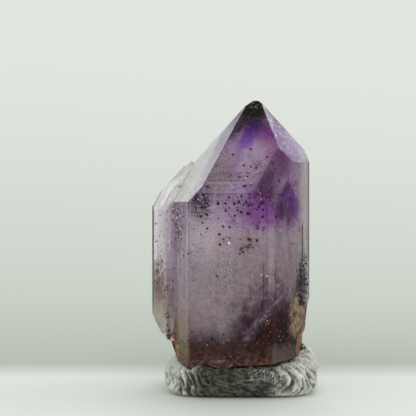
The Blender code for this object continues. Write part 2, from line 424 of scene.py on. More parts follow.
def quartz():
    shade = Shade("quartz")
    place = shade.place()
    across, _, height = shade.split(place)
    lines = shade.noise(shade.stretch(place, (2.4, 2.4, 0.12)), 1.0, 5)
    etch = shade.noise(place, 1.9, 6, 0.7)
    frosted = shade.noise(place, 0.35, 5, 0.65).rise(0.58, 0.7)
    plate_top = across.within(*PLATE_TOP_ACROSS, 0.4) * height.within(*PLATE_TOP_HEIGHT, 0.5)
    rough = 0.015 + frosted * 0.1 + plate_top * etch * 0.5
    normal = shade.bump(lines * 0.6 + etch * 0.5, 0.03 * MM, 0.25)
    foot = (1 - height.rise(*FOOT_STAIN)) * etch.rise(0.36, 0.56)
    # Painted shade: a dark border along the outline, above the brown foot.
    rim = outline(across, RIM_WIDTH) * height.rise(*RIM_FADE_IN)
    brown = shade.mix(etch.rise(0.4, 0.62), STAIN_DARK, STAIN_BROWN)
    # Painted light: the left cap's white dust also stands for the light the cap reflects, and it
    # fades out towards the tip, which paints the shade there.
    left_cap = on_face(shade, place, FACES[11]) * (1 - rim)
    left_cap = left_cap * (1 - across.rise(*LEFT_CAP_SHADE_FADE)) * (etch.rise(0.3, 0.7) * 0.2 + 0.2)
    tone = shade.mix(height.rise(*OUTLINE_FADE_IN), brown, OUTLINE_SHADE)
    colour = shade.mix(left_cap.rise(0, 0.1), tone, CAP_DUST_AND_SHEEN)
    clear = glass(shade, CLEAR, rough, Normal=normal)
    crust = shade.surface(Base_Color=colour, Roughness=0.7, Normal=normal)
    return finish_stone(shade, foot * 0.75 + rim * 0.65 + left_cap, clear, crust)


# %% [markdown]
# A sharp edge of quartz is chipped so finely that it shows as a pale thread, and that pale
# colour is also a painted highlight along the edge. It becomes dark, as painted shade, only
# where it runs along the stone's outline.

# %% Worn edges, with painted highlight and shade
THREAD_AND_HIGHLIGHT = (0.86, 0.82, 0.93)
THREAD_OUTLINE = 0.6


def worn_edge_and_highlight():
    shade = Shade("worn_edge_and_highlight")
    place = shade.place()
    across = shade.split(place)[0]
    chips = shade.noise(place, 1.4, 6, 0.7)
    # Painted light and shade: the pale thread also stands for the edge's highlight, and along the
    # outline the thread is painted dark.
    colour = shade.mix(outline(across, THREAD_OUTLINE), THREAD_AND_HIGHLIGHT, OUTLINE_SHADE)
    thread = shade.surface(Base_Color=colour, Roughness=0.6)
    share = chips.rise(0.36, 0.6) * 0.65 + 0.15
    return finish_stone(shade, share, glass(shade, CLEAR, 0.2), thread)


# %% [markdown]
# Broken stone is rough, and iron settles in it. The foot is rust brown with an orange patch
# at its left, the worn tip is nearly black, and the plate's broken top is frosted grey.

# %% Broken stone
BROKEN_CLEAR = (0.9, 0.88, 0.88)
RUST_STOPS = [
    (0.3, (0.05, 0.018, 0.014)),
    (0.46, (0.15, 0.052, 0.036)),
    (0.58, (0.32, 0.13, 0.075)),
    (0.72, (0.5, 0.28, 0.11)),
]
ORANGE = (0.58, 0.27, 0.06)
ORANGE_ACROSS, ORANGE_HEIGHT = (-10.9, -10.2), (4.4, 5.4)
TIP_BLACK, TIP_GRIT = (0.014, 0.013, 0.012), (0.3, 0.25, 0.16)
STAIN_FADE, TIP_FADE = (9, 14), (40, 44)
BROKEN_FROST = (0.7, 0.71, 0.69)
FROST_ACROSS, FROST_HEIGHT = (-11.8, -6.5), (27, 38)


def fracture():
    """The broken foot, worn tip and pits: rough quartz with iron stain."""
    shade = Shade("fracture")
    place = shade.place()
    across, _, height = shade.split(place)
    grain = shade.noise(place, 2.6, 8, 0.7)
    patches = shade.noise(place, 0.7, 5, 0.6)
    fine = shade.noise(place, 6.0, 5, 0.7)
    low = 1 - height.rise(*STAIN_FADE)
    top = height.rise(*TIP_FADE)
    stain = low * (patches.rise(0.38, 0.55) * 0.35 + 0.65) + top * grain.rise(0.35, 0.55)
    rust = shade.node("ShaderNodeValToRGB", {"stops": RUST_STOPS}, {"Fac": grain})
    orange = 1 - across.rise(*ORANGE_ACROSS)
    orange = orange * height.rise(*ORANGE_HEIGHT) * grain.rise(0.3, 0.6)
    rust = shade.mix(orange, rust, ORANGE)
    dark = shade.mix(fine.rise(0.58, 0.7), TIP_BLACK, TIP_GRIT)
    colour = shade.mix(top, rust, dark)
    frosted = across.within(*FROST_ACROSS, 0.3) * height.within(*FROST_HEIGHT, 1)
    colour = shade.mix(frosted, colour, BROKEN_FROST)
    stain = stain.math("MAXIMUM", frosted * (grain.rise(0.3, 0.6) * 0.5 + 0.25))
    normal = shade.bump(grain, 0.12 * MM, 0.6)
    clear = glass(shade, BROKEN_CLEAR, 0.35, Normal=normal)
    crust = shade.surface(Base_Color=colour, Roughness=0.75, Normal=normal)
    return finish_stone(shade, stain * 0.92, clear, crust)


stone_bm = stone_mesh()
stone_tree = BVHTree.FromBMesh(stone_bm)
stone = add_piece("quartz_point", stone_bm, [quartz(), fracture(), worn_edge_and_highlight()])
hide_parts("amethyst_point")

# %% [markdown]
# Specks and veils are placed by the pixel where the photo shows them. A ray from the camera
# through that pixel meets the stone, bends as light does in quartz, and goes on to the
# wanted depth, so each speck shows at its pixel and still lies truly inside the stone.

# %% Where a pixel lies inside the stone
def pixel_ray(x, y):
    right = (x - PHOTO_SIDE / 2) / PIXELS_PER_MM * MM
    up = (PHOTO_SIDE / 2 - y) / PIXELS_PER_MM * MM
    return (LOOK * CAMERA_DISTANCE + Vector((1, 0, 0)) * right + LONG_AXIS * up).normalized()


def bent(ray, normal):
    """The way a ray goes on after it enters quartz."""
    entering = -ray.dot(normal)
    ratio = 1 / QUARTZ_IOR
    root = math.sqrt(1 - ratio * ratio * (1 - entering * entering))
    return (ray * ratio + normal * (ratio * entering - root)).normalized()


def seen_at(x, y, depth):
    """The point that shows at a pixel, some millimetres below the surface, or None."""
    ray = pixel_ray(x, y)
    hit, normal, _, _ = stone_tree.ray_cast(camera.location, ray)
    if hit is None:
        return None
    onward = bent(ray, normal)
    back, _, _, room = stone_tree.ray_cast(hit + onward * 1e-5, onward)
    if back is None:
        return None
    return hit + onward * min(depth * MM, room * 0.9)


# %% [markdown]
# The phantom is an earlier, violet stage of the crystal, grown over later by paler quartz.
# Each zone of colour is a closed body with a Transparent surface, which bends no light, and
# its own absorption. Bodies and layers are cut by the stone's own faces, moved in by a
# margin, so nothing sticks out of the stone and every cut lies parallel to a real face.

# %% Cutting by the faces
CORNER_REACH = 20.32
CHIPS = [(Vector((-0.915, 0, -0.403)), 8.65), (Vector((0.985, 0, -0.171)), 8.9)]
BOUNDARY = FACES + [(CORNER_NORMAL, CORNER_REACH)] + CHIPS


def cut(bm, planes, fill):
    """Keep what lies behind every plane, all in the point's own frame."""
    for normal, reach in planes:
        result = bmesh.ops.bisect_plane(
            bm,
            geom=bm.verts[:] + bm.edges[:] + bm.faces[:],
            dist=1e-5,
            plane_co=normal * reach,
            plane_no=normal,
            clear_outer=True,
        )
        edges = [item for item in result["geom_cut"] if isinstance(item, bmesh.types.BMEdge)]
        if fill and edges:
            bmesh.ops.edgeloop_fill(bm, edges=edges)
    bmesh.ops.recalc_face_normals(bm, faces=bm.faces)


def moved_in(margin, skipped=(), boundary=BOUNDARY):
    return [
        (normal, reach - margin)
        for number, (normal, reach) in enumerate(boundary)
        if number not in skipped
    ]


print("the stone is bounded by", len(BOUNDARY), "planes")

# %% [markdown]
# A body of colour takes more of one colour than of another out of the light that crosses it.
# Most are lumpy balls, pressed and tilted into streaks, drops and shades. Each is given by
# the pixel that it shows at, its depth below the surface there and its three radii in mm.

# %% Bodies of colour
LUMP_SCALE = 1.3
WIDER_THAN_STONE = 60


def absorbing(name, loss):
    """See-through, taking away this share per metre of red, green and blue."""
    shade = Shade(name)
    density = max(loss) * 1.05
    colour = [1 - part / density for part in loss]
    clear = shade.node("ShaderNodeBsdfTransparent")
    sockets = {"Color": colour, "Density": density}
    return shade.finish(clear, shade.node("ShaderNodeVolumeAbsorption", sockets=sockets))


def add_body(name, bm, planes, loss):
    """A body of colour: what a closed mesh leaves behind some planes."""
    cut(bm, planes, True)
    bm.transform(TO_ROW)
    return add_piece(name, bm, [absorbing(name, loss)])


def in_point(pixel, depth):
    """The point that shows at a pixel, in the point's own frame."""
    return TO_POINT @ seen_at(*pixel, depth)


def lobe(name, pixel, depth, radii, loss, tilt=0, margin=0.3, lumps=0.25, seed=0.0):
    """A lumpy ball of colour behind a pixel, tilted sideways by some degrees."""
    bm = bmesh.new()
    bmesh.ops.create_icosphere(bm, subdivisions=4, radius=1)
    for vert in bm.verts:
        at = vert.co * LUMP_SCALE + Vector((seed, 0, 0))
        lump = 1 + lumps * noise.fractal(at, 0.8, 2.0, 3)
        vert.co = Vector([r * v * lump for r, v in zip(radii, vert.co)])
    lean = Matrix.Rotation(math.radians(tilt), 4, "Y")
    bm.transform(Matrix.Translation(in_point(pixel, depth)) @ lean)
    return add_body(name, bm, moved_in(margin), loss)


def block(middle, height):
    """A block wider than the stone, about a place on its axis."""
    bm = bmesh.new()
    bmesh.ops.create_cube(bm, size=1)
    bmesh.ops.scale(bm, vec=(WIDER_THAN_STONE, WIDER_THAN_STONE, height), verts=bm.verts)
    bmesh.ops.translate(bm, vec=(0, 0, middle), verts=bm.verts)
    return bm


# %% [markdown]
# Above the phantom's foot the whole stone is faintly violet. A blue-violet streak falls from
# the tip to the left, a plum one to the right, and a deep violet heart lies lower down.
# Lumpy balls suit them, as colour in real quartz has no clean outline.

# %% Violet zones
PHANTOM_FOOT = 23.9
ABOVE_TIP = 60
CAP_MARGIN = 1.4
FAINT_VIOLET = (9, 30, 6)
upper_half = block((ABOVE_TIP + PHANTOM_FOOT) / 2, ABOVE_TIP - PHANTOM_FOOT)
add_body("violet_cap", upper_half, moved_in(CAP_MARGIN), FAINT_VIOLET)
lobe(
    "violet_streak", pixel=(252, 129), depth=1.3, radii=(1.4, 1.1, 4.2),
    loss=(340, 760, 50), tilt=16, lumps=0.5, seed=1.0,
)
lobe(
    "violet_drop", pixel=(245, 146), depth=1.1, radii=(1.1, 0.9, 3.5),
    loss=(330, 760, 40), tilt=18, lumps=0.6, seed=1.6,
)
lobe(
    "violet_wisp", pixel=(237, 140), depth=1.4, radii=(1.5, 0.8, 1.4),
    loss=(120, 340, 20), tilt=60, lumps=0.7, seed=1.9,
)
lobe(
    "plum_streak", pixel=(267, 138), depth=1.6, radii=(1.9, 1.6, 6.6),
    loss=(110, 440, 90), tilt=-20, lumps=0.4, seed=2.0,
)
lobe(
    "violet_heart", pixel=(260, 208), depth=1.8, radii=(2.4, 1.8, 3.2),
    loss=(90, 340, 30), lumps=0.6, seed=3.0,
)
lobe(
    "violet_shoulder", pixel=(236, 206), depth=2.6, radii=(5.4, 2.2, 3.4),
    loss=(20, 80, 8), lumps=0.4, seed=6.0,
)
lobe(
    "small_violet_patch", pixel=(234, 191), depth=1.0, radii=(0.8, 0.7, 0.6),
    loss=(900, 1300, 160), seed=4.0,
)

# %% [markdown]
# The tip is nearly black inside, and a dark shade runs down from it along the left edge.
# These bodies take all colours nearly alike.

# %% Shade at the tip
lobe(
    "tip_shade", pixel=(250, 104), depth=1.2, radii=(3.4, 3.4, 2.7),
    loss=(950, 950, 1050), margin=0.12, seed=7.0,
)
lobe(
    "tip_shade_edge", pixel=(247, 110), depth=1.0, radii=(3.2, 3.2, 2.5),
    loss=(260, 270, 280), margin=0.2, lumps=0.5, seed=7.5,
)
lobe(
    "left_edge_shade", pixel=(234, 127), depth=0.8, radii=(1.3, 1.5, 5.2),
    loss=(480, 500, 460), tilt=32, margin=0.2, seed=8.0,
)

# %% [markdown]
# A second, smaller point grew inside the first one, behind its right side. It has the same
# face angles as the stone itself, and it is the darkest violet of all.

# %% Dark small point
DARK_TIP_PIXEL = (287, 182)
DARK_TIP_DEPTH = 1.6
DARK_POINT_RADIUS = 1.9
DARK_POINT_HEIGHT = 7
DARK_POINT_DROP = 2.9
DARK_POINT_MARGIN = 0.3
DARK_VIOLET = (230, 580, 80)
dark_tip = in_point(DARK_TIP_PIXEL, DARK_TIP_DEPTH)
dark_planes = [(normal, normal.dot(dark_tip)) for normal in CAPS]
dark_planes += [(normal, normal.dot(dark_tip) + DARK_POINT_RADIUS) for normal in WALLS]
dark_block = block(dark_tip.z - DARK_POINT_DROP, DARK_POINT_HEIGHT)
dark_planes += moved_in(DARK_POINT_MARGIN)
add_body("dark_small_point", dark_block, dark_planes, DARK_VIOLET)
lobe(
    "dark_point_root", pixel=(281, 212), depth=1.6, radii=(1.2, 1.1, 1.7),
    loss=(360, 600, 240), tilt=8, lumps=0.6, seed=9.0,
)
lobe(
    "dark_point_side", pixel=(293, 205), depth=1.4, radii=(0.9, 0.9, 2.2),
    loss=(170, 480, 90), tilt=-10, lumps=0.6, seed=9.5,
)

# %% [markdown]
# Iron stains the foot brown. Inside, a brown body fills the lower right, below a healed
# break that runs up to the right.

# %% Brown zone
lobe(
    "brown_corner", pixel=(276, 336), depth=2.6, radii=(4.8, 2.4, 3.4),
    loss=(300, 420, 420), tilt=-35, margin=0.5, seed=5.0,
)

# %% [markdown]
# Quartz like this is rarely quite clear. Old cracks that healed, tiny bubbles and iron dust
# lie in layers along the former faces. Each layer here is a thin sheet parallel to one face,
# some way below it, whose Alpha is broken up by noise. A paint function gives the layer's
# colour and cover, with masks about places that are named by their pixels in the photo.

# %% Where the layers lie
FRONT, FRONT_RIGHT, BACK_LEFT, FRONT_LEFT = 0, 1, 4, 5
FRONT_CAP, RIGHT_CAP, LEFT_CAP = 6, 7, 11
CORNER = 12
FRONT_SCALE = PIXELS_PER_MM * 1.018
VIEW_CENTRE = TO_POINT @ aim


def across_at(x):
    return VIEW_CENTRE.x + (x - PHOTO_SIDE / 2) / FRONT_SCALE


def height_at(y):
    return VIEW_CENTRE.z + (PHOTO_SIDE / 2 - y) / FRONT_SCALE


print("the photo's middle lies at height", round(height_at(PHOTO_SIDE / 2), 2), "mm")

# %% [markdown]
# Every layer is painted with the same few masks: clouds, upright streaks, round dots, and
# ovals, columns and rows given in pixels. An oval is (x, y, width, height). The wobble of
# its edge comes from noise, because nothing inside a stone has a clean outline.

# %% Masks to paint with
SPOT_WOBBLE = 1.3
STREAK_STRETCH = (2.2, 2.2, 0.16)


class Paint:
    """What a paint function can draw with: a shade, its places and its masks."""

    def __init__(self, shade, seed):
        self.shade = shade
        self.place = shade.place()
        self.across, _, self.height = shade.split(self.place)
        offset = {"operation": "ADD"}
        self.seeded = shade.node(
            "ShaderNodeVectorMath", offset, {0: self.place, 1: (seed * 7.3, seed * 3.1, seed)}
        )

    def cloud(self, scale, low, high, detail=6.0):
        return self.shade.noise(self.seeded, scale, detail, 0.65, 0.3).rise(low, high)

    def streaks(self, low, high):
        flat = self.shade.stretch(self.seeded, STREAK_STRETCH)
        return self.shade.noise(flat, 1.0, 5, 0.6).rise(low, high)

    def spot(self, x, y, width, height, soft=0.55):
        """An irregular oval about a pixel, as wide and high in pixels as given."""
        right = (self.across - across_at(x)) * (2 * FRONT_SCALE / width)
        up = (self.height - height_at(y)) * (2 * FRONT_SCALE / height)
        wobble = (self.shade.noise(self.seeded, 0.55, 5, 0.6) - 0.5) * SPOT_WOBBLE
        far = (right * right + up * up).math("SQRT") + wobble
        return 1 - far.rise(1 - soft, 1 + soft * 0.4)

    def columns(self, first, last, soft=1.0):
        return self.across.within(across_at(first), across_at(last), soft)

    def rows(self, upper, lower, soft=0.6):
        return self.height.within(height_at(lower), height_at(upper), soft)

    def dots(self, per_mm, size, share):
        """Round dots in some of the cells of a Voronoi pattern."""
        sockets = {"Vector": self.seeded, "Scale": per_mm}
        node = self.shade.node("ShaderNodeTexVoronoi", sockets=sockets)
        chance = self.shade.split(Socket(self.shade, node.socket.node.outputs["Color"]))[0]
        inside = 1 - node.rise(size * per_mm * 0.6, size * per_mm)
        return inside * share.math("GREATER_THAN", chance)

    def mix(self, share, first, second):
        return self.shade.mix(share, first, second)


# %% [markdown]
# A sheet starts as a large square in the plane of its face and is cut back to the stone. It
# has no gloss of its own, since it is no surface but a veil of bubbles and dust.

# %% Sheets along a face
SHEET_SIZE = 40


def layer_material(name, paint, seed):
    shade = Shade(name)
    colour, cover = paint(Paint(shade, seed))
    return shade.finish(shade.surface(
        Base_Color=colour,
        Roughness=0.55,
        Specular_IOR_Level=0.0,
        Alpha=cover.math("MINIMUM", 1.0),
    ))


def layer(name, facing, depth, paint, margin=0.5, low=4.0, seed=1.0, boundary=BOUNDARY):
    """A sheet parallel to one face, as deep below it as given, and above a lowest height."""
    normal, reach = boundary[facing]
    bm = bmesh.new()
    bmesh.ops.create_grid(bm, x_segments=1, y_segments=1, size=SHEET_SIZE)
    turn = normal.to_track_quat("Z", "Y").to_matrix().to_4x4()
    bm.transform(Matrix.Translation(normal * (reach - depth)) @ turn)
    planes = moved_in(margin, {facing}, boundary)
    planes.append((Vector((0, 0, -1)), -low))
    cut(bm, planes, False)
    bm.transform(TO_ROW)
    return add_piece(name, bm, [layer_material(name, paint, seed)])


# %% [markdown]
# The haze comes first: layers below the front, the caps and the sides, the deepest ones
# the densest. They make the body milky, as the photo shows it, and still let the violet zones
# and the background glow through. The strip along the right edge stays clear.

# %% Haze
HAZE = (0.88, 0.74, 0.79)
DEEP_MAUVE = (0.66, 0.48, 0.58)
VIOLET_HAZE = (0.84, 0.51, 0.94)
PALE_HAZE = (1.0, 0.94, 0.98)
PLUM_HAZE = (0.3, 0.15, 0.2)
BROWN = (0.17, 0.06, 0.035)
DARK_BROWN = (0.07, 0.022, 0.02)
PHANTOM_ROWS = (60, 229)
PHANTOM_COLUMNS = (212, 330)
PLUM_PLACE = (272, 306, 100, 120)
DARK_SIDE = (278, 338, 84, 74)
FOOT_FADE = (2.5, 9.0)
CLEAR_ACROSS = (7.8, 9.0)
CLEAR_ROWS = (165, 262)


def haze(paint, cover, upper, lower):
    """Mauve milk with grain, violet above the phantom's foot, browner towards the base."""
    grain = paint.cloud(2.4, 0.35, 0.7)
    wisps = paint.cloud(0.9, 0.4, 0.68, 8.0)
    cloud = paint.cloud(0.3, 0.3, 0.7)
    violet = paint.rows(*PHANTOM_ROWS, 0.5) * (paint.columns(*PHANTOM_COLUMNS, 2.5) * 0.5 + 0.5)
    foot = 1 - paint.height.rise(*FOOT_FADE)
    plum = paint.spot(*PLUM_PLACE) * 0.9
    dark_side = paint.spot(*DARK_SIDE)
    clear_strip = paint.across.rise(*CLEAR_ACROSS) * paint.rows(*CLEAR_ROWS, 2.0)
    tone = paint.mix(cloud * 0.6, HAZE, DEEP_MAUVE)
    tone = paint.mix(violet * 0.8, tone, VIOLET_HAZE)
    tone = paint.mix(wisps * 0.5 + grain * 0.3, tone, PALE_HAZE)
    tone = paint.mix(plum, tone, PLUM_HAZE)
    tone = paint.mix(foot, tone, BROWN)
    tone = paint.mix(dark_side * 0.92, tone, DARK_BROWN)
    thick = cloud * 0.45 + wisps * 0.35 + grain * 0.3 + foot * 0.6 + dark_side * 0.3
    fade = paint.rows(upper, lower, 3.0) * (1 - clear_strip * 0.85)
    return tone, (thick + 0.3) * cover * fade


def haze_layer(name, facing, depth, cover, margin, seed, low=2.2, upper=60, lower=420):
    """A haze that fades out above and below two pixel rows."""
    layer(name, facing, depth, lambda paint: haze(paint, cover, upper, lower), margin, low, seed)


haze_layer("deep_haze", FRONT, 9.0, cover=0.8, margin=1.4, seed=1.0, upper=165)
haze_layer("middle_haze", FRONT, 5.0, cover=0.4, margin=1.2, seed=2.0, upper=184)
haze_layer("front_haze", FRONT, 2.0, cover=0.24, margin=0.8, seed=3.0, low=3.0, upper=198)
haze_layer("tip_haze", FRONT_CAP, 2.6, cover=0.5, margin=0.35, seed=9.0, lower=186)
haze_layer("deep_cap_haze", FRONT_CAP, 6.5, cover=0.75, margin=1.6, seed=4.0, lower=206)
haze_layer("cap_haze", FRONT_CAP, 3.4, cover=0.25, margin=1.2, seed=5.0, lower=184)
haze_layer("right_haze", FRONT_RIGHT, 4.0, cover=0.35, margin=0.9, seed=6.0)
haze_layer("left_haze", FRONT_LEFT, 1.0, cover=0.25, margin=0.7, seed=7.0, low=4.0)
haze_layer("back_left_haze", BACK_LEFT, 1.3, cover=0.9, margin=1.0, seed=8.0, low=4.0)

# %% [markdown]
# The two side caps catch the light on frost and fine dust right below them. Etch pits are
# too fine to model, so one sheet close below each cap stands for them. The right one
# is lavender with bright flecks. The left one is nearly white, with a lilac band along its
# inner edge, which is measured from one pixel of that edge and the slope that it falls by.
# Its white is frost and also a painted reflection of the light on that cap, and it thins out
# near the tip as painted shade.

# %% Frost on the side caps, with painted sheen and shade on the left one
LAVENDER = (0.68, 0.5, 0.98)
ICE = (0.9, 0.96, 1.0)
LILAC = (0.76, 0.7, 0.93)
WARM_WHITE = (1.0, 0.99, 0.96)
GREEN_GREY = (0.62, 0.62, 0.5)
RIGHT_CAP_EDGE = (268, 122, 12, 52)
LEFT_CAP_COLUMNS = (196, 228)
INNER_EDGE = (243, 108)
INNER_EDGE_SLOPE = 0.52
SHADED_TIP_ROWS = (136, 108)


def frost(paint):
    flecks = paint.dots(1.5, 0.3, paint.cloud(0.8, 0.3, 0.8))
    clear_patch = paint.cloud(0.55, 0.45, 0.6)
    near_edge = paint.spot(*RIGHT_CAP_EDGE)
    pale = (flecks + near_edge * 0.8 + clear_patch * 0.3).math("MINIMUM", 1.0)
    cover = paint.cloud(1.2, 0.3, 0.7) * 0.5 + flecks * 0.8 + near_edge * 0.3 + 0.2
    return paint.mix(pale, LAVENDER, ICE), cover


# The left cap's frost, whose white is also a painted reflection of the light on that cap.
def pale_frost_and_sheen(paint):
    fine = paint.cloud(1.6, 0.3, 0.7)
    outer = 1 - paint.across.rise(*(across_at(x) for x in LEFT_CAP_COLUMNS))
    fall = (paint.height - height_at(INNER_EDGE[1])) * INNER_EDGE_SLOPE
    inward = fall + across_at(INNER_EDGE[0]) - paint.across + (fine - 0.5) * 0.4
    tone = paint.mix(inward.rise(0.9, 1.5), LILAC, WARM_WHITE)
    tone = paint.mix(inward.within(2.3, 2.9, 0.4) * 0.5, tone, GREEN_GREY)
    # Painted shade: the white thins out near the tip, where the cap lies in shade.
    shaded_near_tip = paint.height.rise(*(height_at(y) for y in SHADED_TIP_ROWS))
    return tone, (fine * 0.2 + outer * 0.2 + 0.5) * (1 - shaded_near_tip * 0.8)


layer("right_cap_frost", RIGHT_CAP, 0.12, frost, margin=0.12, seed=8.0)
layer("left_cap_frost_and_sheen", LEFT_CAP, 0.12, pale_frost_and_sheen, margin=0.12, seed=9.0)

# %% [markdown]
# The clear strip at the right shows fine upright growth lines, with one dark line between
# them. Noise stretched upwards draws them all, which is less work than real steps. Below it
# the stone is pitted black, and lower still it is stained ochre.

# %% Growth lines, pits and ochre at the right
LINE_DARK = (0.2, 0.14, 0.13)
STRIP_PALE = (1.0, 1.0, 0.86)
LINE_BLACK = (0.05, 0.03, 0.03)
PIT_BLACK = (0.025, 0.022, 0.02)
OCHRE_PALE = (0.86, 0.68, 0.55)
OCHRE_DEEP = (0.66, 0.4, 0.18)
OCHRE_DARK = (0.2, 0.12, 0.08)
LINES_COLUMNS, LINES_ROWS = (287, 299), (170, 300)
STRIP_COLUMNS, STRIP_ROWS = (301, 314), (165, 256)
LINE_COLUMNS, LINE_ROWS = (302.6, 303.2), (228, 264)
OCHRE_PLACE = (299, 317, 21, 50)
PIT_PLACE = (303, 284, 13, 40)


def growth_lines(paint):
    """Fine upright lines in the clear strip at the right, and what lies below it."""
    place = paint.columns(*LINES_COLUMNS, 0.3) * paint.rows(*LINES_ROWS, 4)
    strip = paint.columns(*STRIP_COLUMNS, 0.4) * paint.rows(*STRIP_ROWS, 2)
    strip = strip * (paint.streaks(0.35, 0.65) * 0.7 + 0.3)
    line = paint.columns(*LINE_COLUMNS, 0.15) * paint.rows(*LINE_ROWS, 1)
    patch = paint.spot(*OCHRE_PLACE) * paint.cloud(0.9, 0.3, 0.55)
    pits = paint.spot(*PIT_PLACE) * paint.cloud(1.5, 0.42, 0.56)
    ochre = paint.mix(paint.cloud(1.4, 0.4, 0.6), OCHRE_PALE, OCHRE_DEEP)
    ochre = paint.mix(paint.cloud(1.9, 0.56, 0.7), ochre, OCHRE_DARK)
    tone = paint.mix(strip, LINE_DARK, STRIP_PALE)
    tone = paint.mix(line, tone, LINE_BLACK)
    tone = paint.mix(patch.rise(0, 0.2), tone, ochre)
    tone = paint.mix(pits.rise(0, 0.2), tone, PIT_BLACK)
    cover = paint.streaks(0.54, 0.68) * place * 0.45 + strip * 0.5 + line * 0.7
    return tone, cover + patch * 0.8 + pits * 0.62


layer("growth_lines", FRONT_RIGHT, 0.22, growth_lines, margin=0.12, seed=61.0)

# %% [markdown]
# The small corner face looks into a plum shade, and behind the right wall the small dark
# point wears dust on its own faces: a violet arrowhead that frays out below. Its sides are
# worked out from how far a place lies below its tip and beside it.

# %% Plum shade and the arrowhead of dust
CORNER_PLUM = (0.18, 0.045, 0.2)
CORNER_UPPER = (282, 160, 34, 34)
CORNER_LOWER = (265, 184, 22, 54)
ARROW_TIP = (286, 180)
ARROW_VIOLET = (0.25, 0.06, 0.47)
ARROW_BLACK = (0.045, 0.018, 0.06)
ARROW_LEFT_SLOPE = -0.32
ARROW_RIGHT_SLOPE = 0.55
ARROW_HALF_WIDTH = 2.1


def corner_shade(paint):
    """Dark plum behind the left half of the small corner face."""
    upper = paint.spot(*CORNER_UPPER, 0.8) * 0.45
    return CORNER_PLUM, (paint.spot(*CORNER_LOWER, 0.5) * 0.62).math("MAXIMUM", upper)


def phantom_dust(paint):
    """A dark violet arrowhead below a pixel, fraying out downwards."""
    below = height_at(ARROW_TIP[1]) - paint.height
    beside = paint.across - across_at(ARROW_TIP[0])
    wobble = (paint.shade.noise(paint.seeded, 1.1, 5, 0.6) - 0.5) * 0.8
    right = (below * ARROW_RIGHT_SLOPE).math("MINIMUM", ARROW_HALF_WIDTH) + wobble
    inside = beside.within(below * ARROW_LEFT_SLOPE + wobble, right, 0.25)
    frayed = 1 - (below + paint.streaks(0.3, 0.7) * 3).rise(5, 9)
    dark = below.rise(2.4, 4.6) * (1 - beside.rise(-0.6, 1.0)) * paint.cloud(0.9, 0.3, 0.5)
    tone = paint.mix(dark, ARROW_VIOLET, ARROW_BLACK)
    return tone, inside * frayed * (paint.cloud(1.2, 0.3, 0.7) * 0.4 + 0.32)


layer("corner_shade", CORNER, 0.2, corner_shade, margin=0.04, seed=62.0)
layer("phantom_dust", FRONT_RIGHT, 0.8, phantom_dust, margin=0.3, seed=67.0)

# %% [markdown]
# Milk is the palest veil and lies close below the faces. Below the narrow left face it is
# lavender and streaky, with dark grains high up and ochre at the foot.

# %% Milk below the left face
STREAK_PALE = (0.9, 0.74, 0.92)
STREAK_DEEP = (0.66, 0.46, 0.7)
LOW_BROWN = (0.5, 0.31, 0.23)
GRAIN_BLACK = (0.05, 0.032, 0.028)
SPARKLE = (1, 0.97, 1)
LEFT_OCHRE = (0.5, 0.33, 0.1)
LEFT_GRAINS = (179, 224, 14, 64)
LEFT_BROWN = (178, 218, 11, 50)
LEFT_OCHRE_PLACE = (184, 346, 22, 66)
LEFT_SPARKLE = (178, 224, 16, 60)
LEFT_LOW_ROWS = (335, 262)
LEFT_MILK_ROWS = (200, 330)


def left_milk(paint):
    """Lavender milk right below the narrow left face, with dark grains high up."""
    grains = paint.dots(1.8, 0.28, paint.spot(*LEFT_GRAINS) * 0.9)
    brown = paint.cloud(1.6, 0.45, 0.6) * paint.spot(*LEFT_BROWN) * 0.6
    ochre = paint.cloud(1.7, 0.42, 0.58) * paint.spot(*LEFT_OCHRE_PLACE)
    bright = paint.dots(1.6, 0.26, paint.spot(*LEFT_SPARKLE) * 0.3)
    low = 1 - paint.height.rise(*(height_at(y) for y in LEFT_LOW_ROWS))
    tone = paint.mix(paint.streaks(0.4, 0.6), STREAK_PALE, STREAK_DEEP)
    tone = paint.mix(low * 0.85, tone, LOW_BROWN)
    tone = paint.mix((brown + grains).math("MINIMUM", 1.0), tone, GRAIN_BLACK)
    tone = paint.mix(bright, tone, SPARKLE)
    tone = paint.mix(ochre, tone, LEFT_OCHRE)
    cover = (paint.cloud(0.5, 0.3, 0.7) * 0.25 + 0.35) * paint.rows(*LEFT_MILK_ROWS, 2)
    return tone, cover + grains + brown + bright + ochre * 0.9


layer("left_milk", FRONT_LEFT, 0.4, left_milk, margin=0.15, low=2.4, seed=63.0)

# %% [markdown]
# Below the front faces the milk is violet high up and mauve lower down. It leaves the dark
# places free and thins out towards the small corner face, where its edge would show as a
# line. The same paint serves the front, the cap above it and the right wall.

# %% Milk below the front faces
MAUVE_MILK = (0.92, 0.76, 0.84)
VIOLET_MILK = (0.94, 0.74, 0.98)
PALE_MILK = (0.97, 0.9, 0.94)
HEART_MILK = (0.76, 0.38, 0.88)
PLUM_MILK = (0.8, 0.46, 0.66)
LOW_MILK = (0.72, 0.55, 0.58)
VIOLET_ROWS = (60, 228)
LEFT_COLUMNS, LEFT_ROWS = (186, 214), (228, 338)
BELOW_PHANTOM = (228, 244, 100, 46)
HEART_PLACE = (261, 208, 46, 50)
DARK_CORNER = (282, 334, 130, 106)
SMOKE_CORNER = (200, 202, 24, 40)
ARROW_PLACE = (286, 204, 30, 56)
PALE_PLACE = (204, 230, 52, 60)
UPPER_FRONT = (222, 206, 90, 54)
UPPER_CAP = (258, 160, 46, 60)
PLUM_STREAK_PLACE = (273, 150, 26, 44)
LOW_ROWS = (330, 285)
CLEAR_COLUMNS = (301, 316)
LOWEST_MILK_ROW = 322
CORNER_FADE = (CORNER_REACH - 1.6, CORNER_REACH - 0.2)


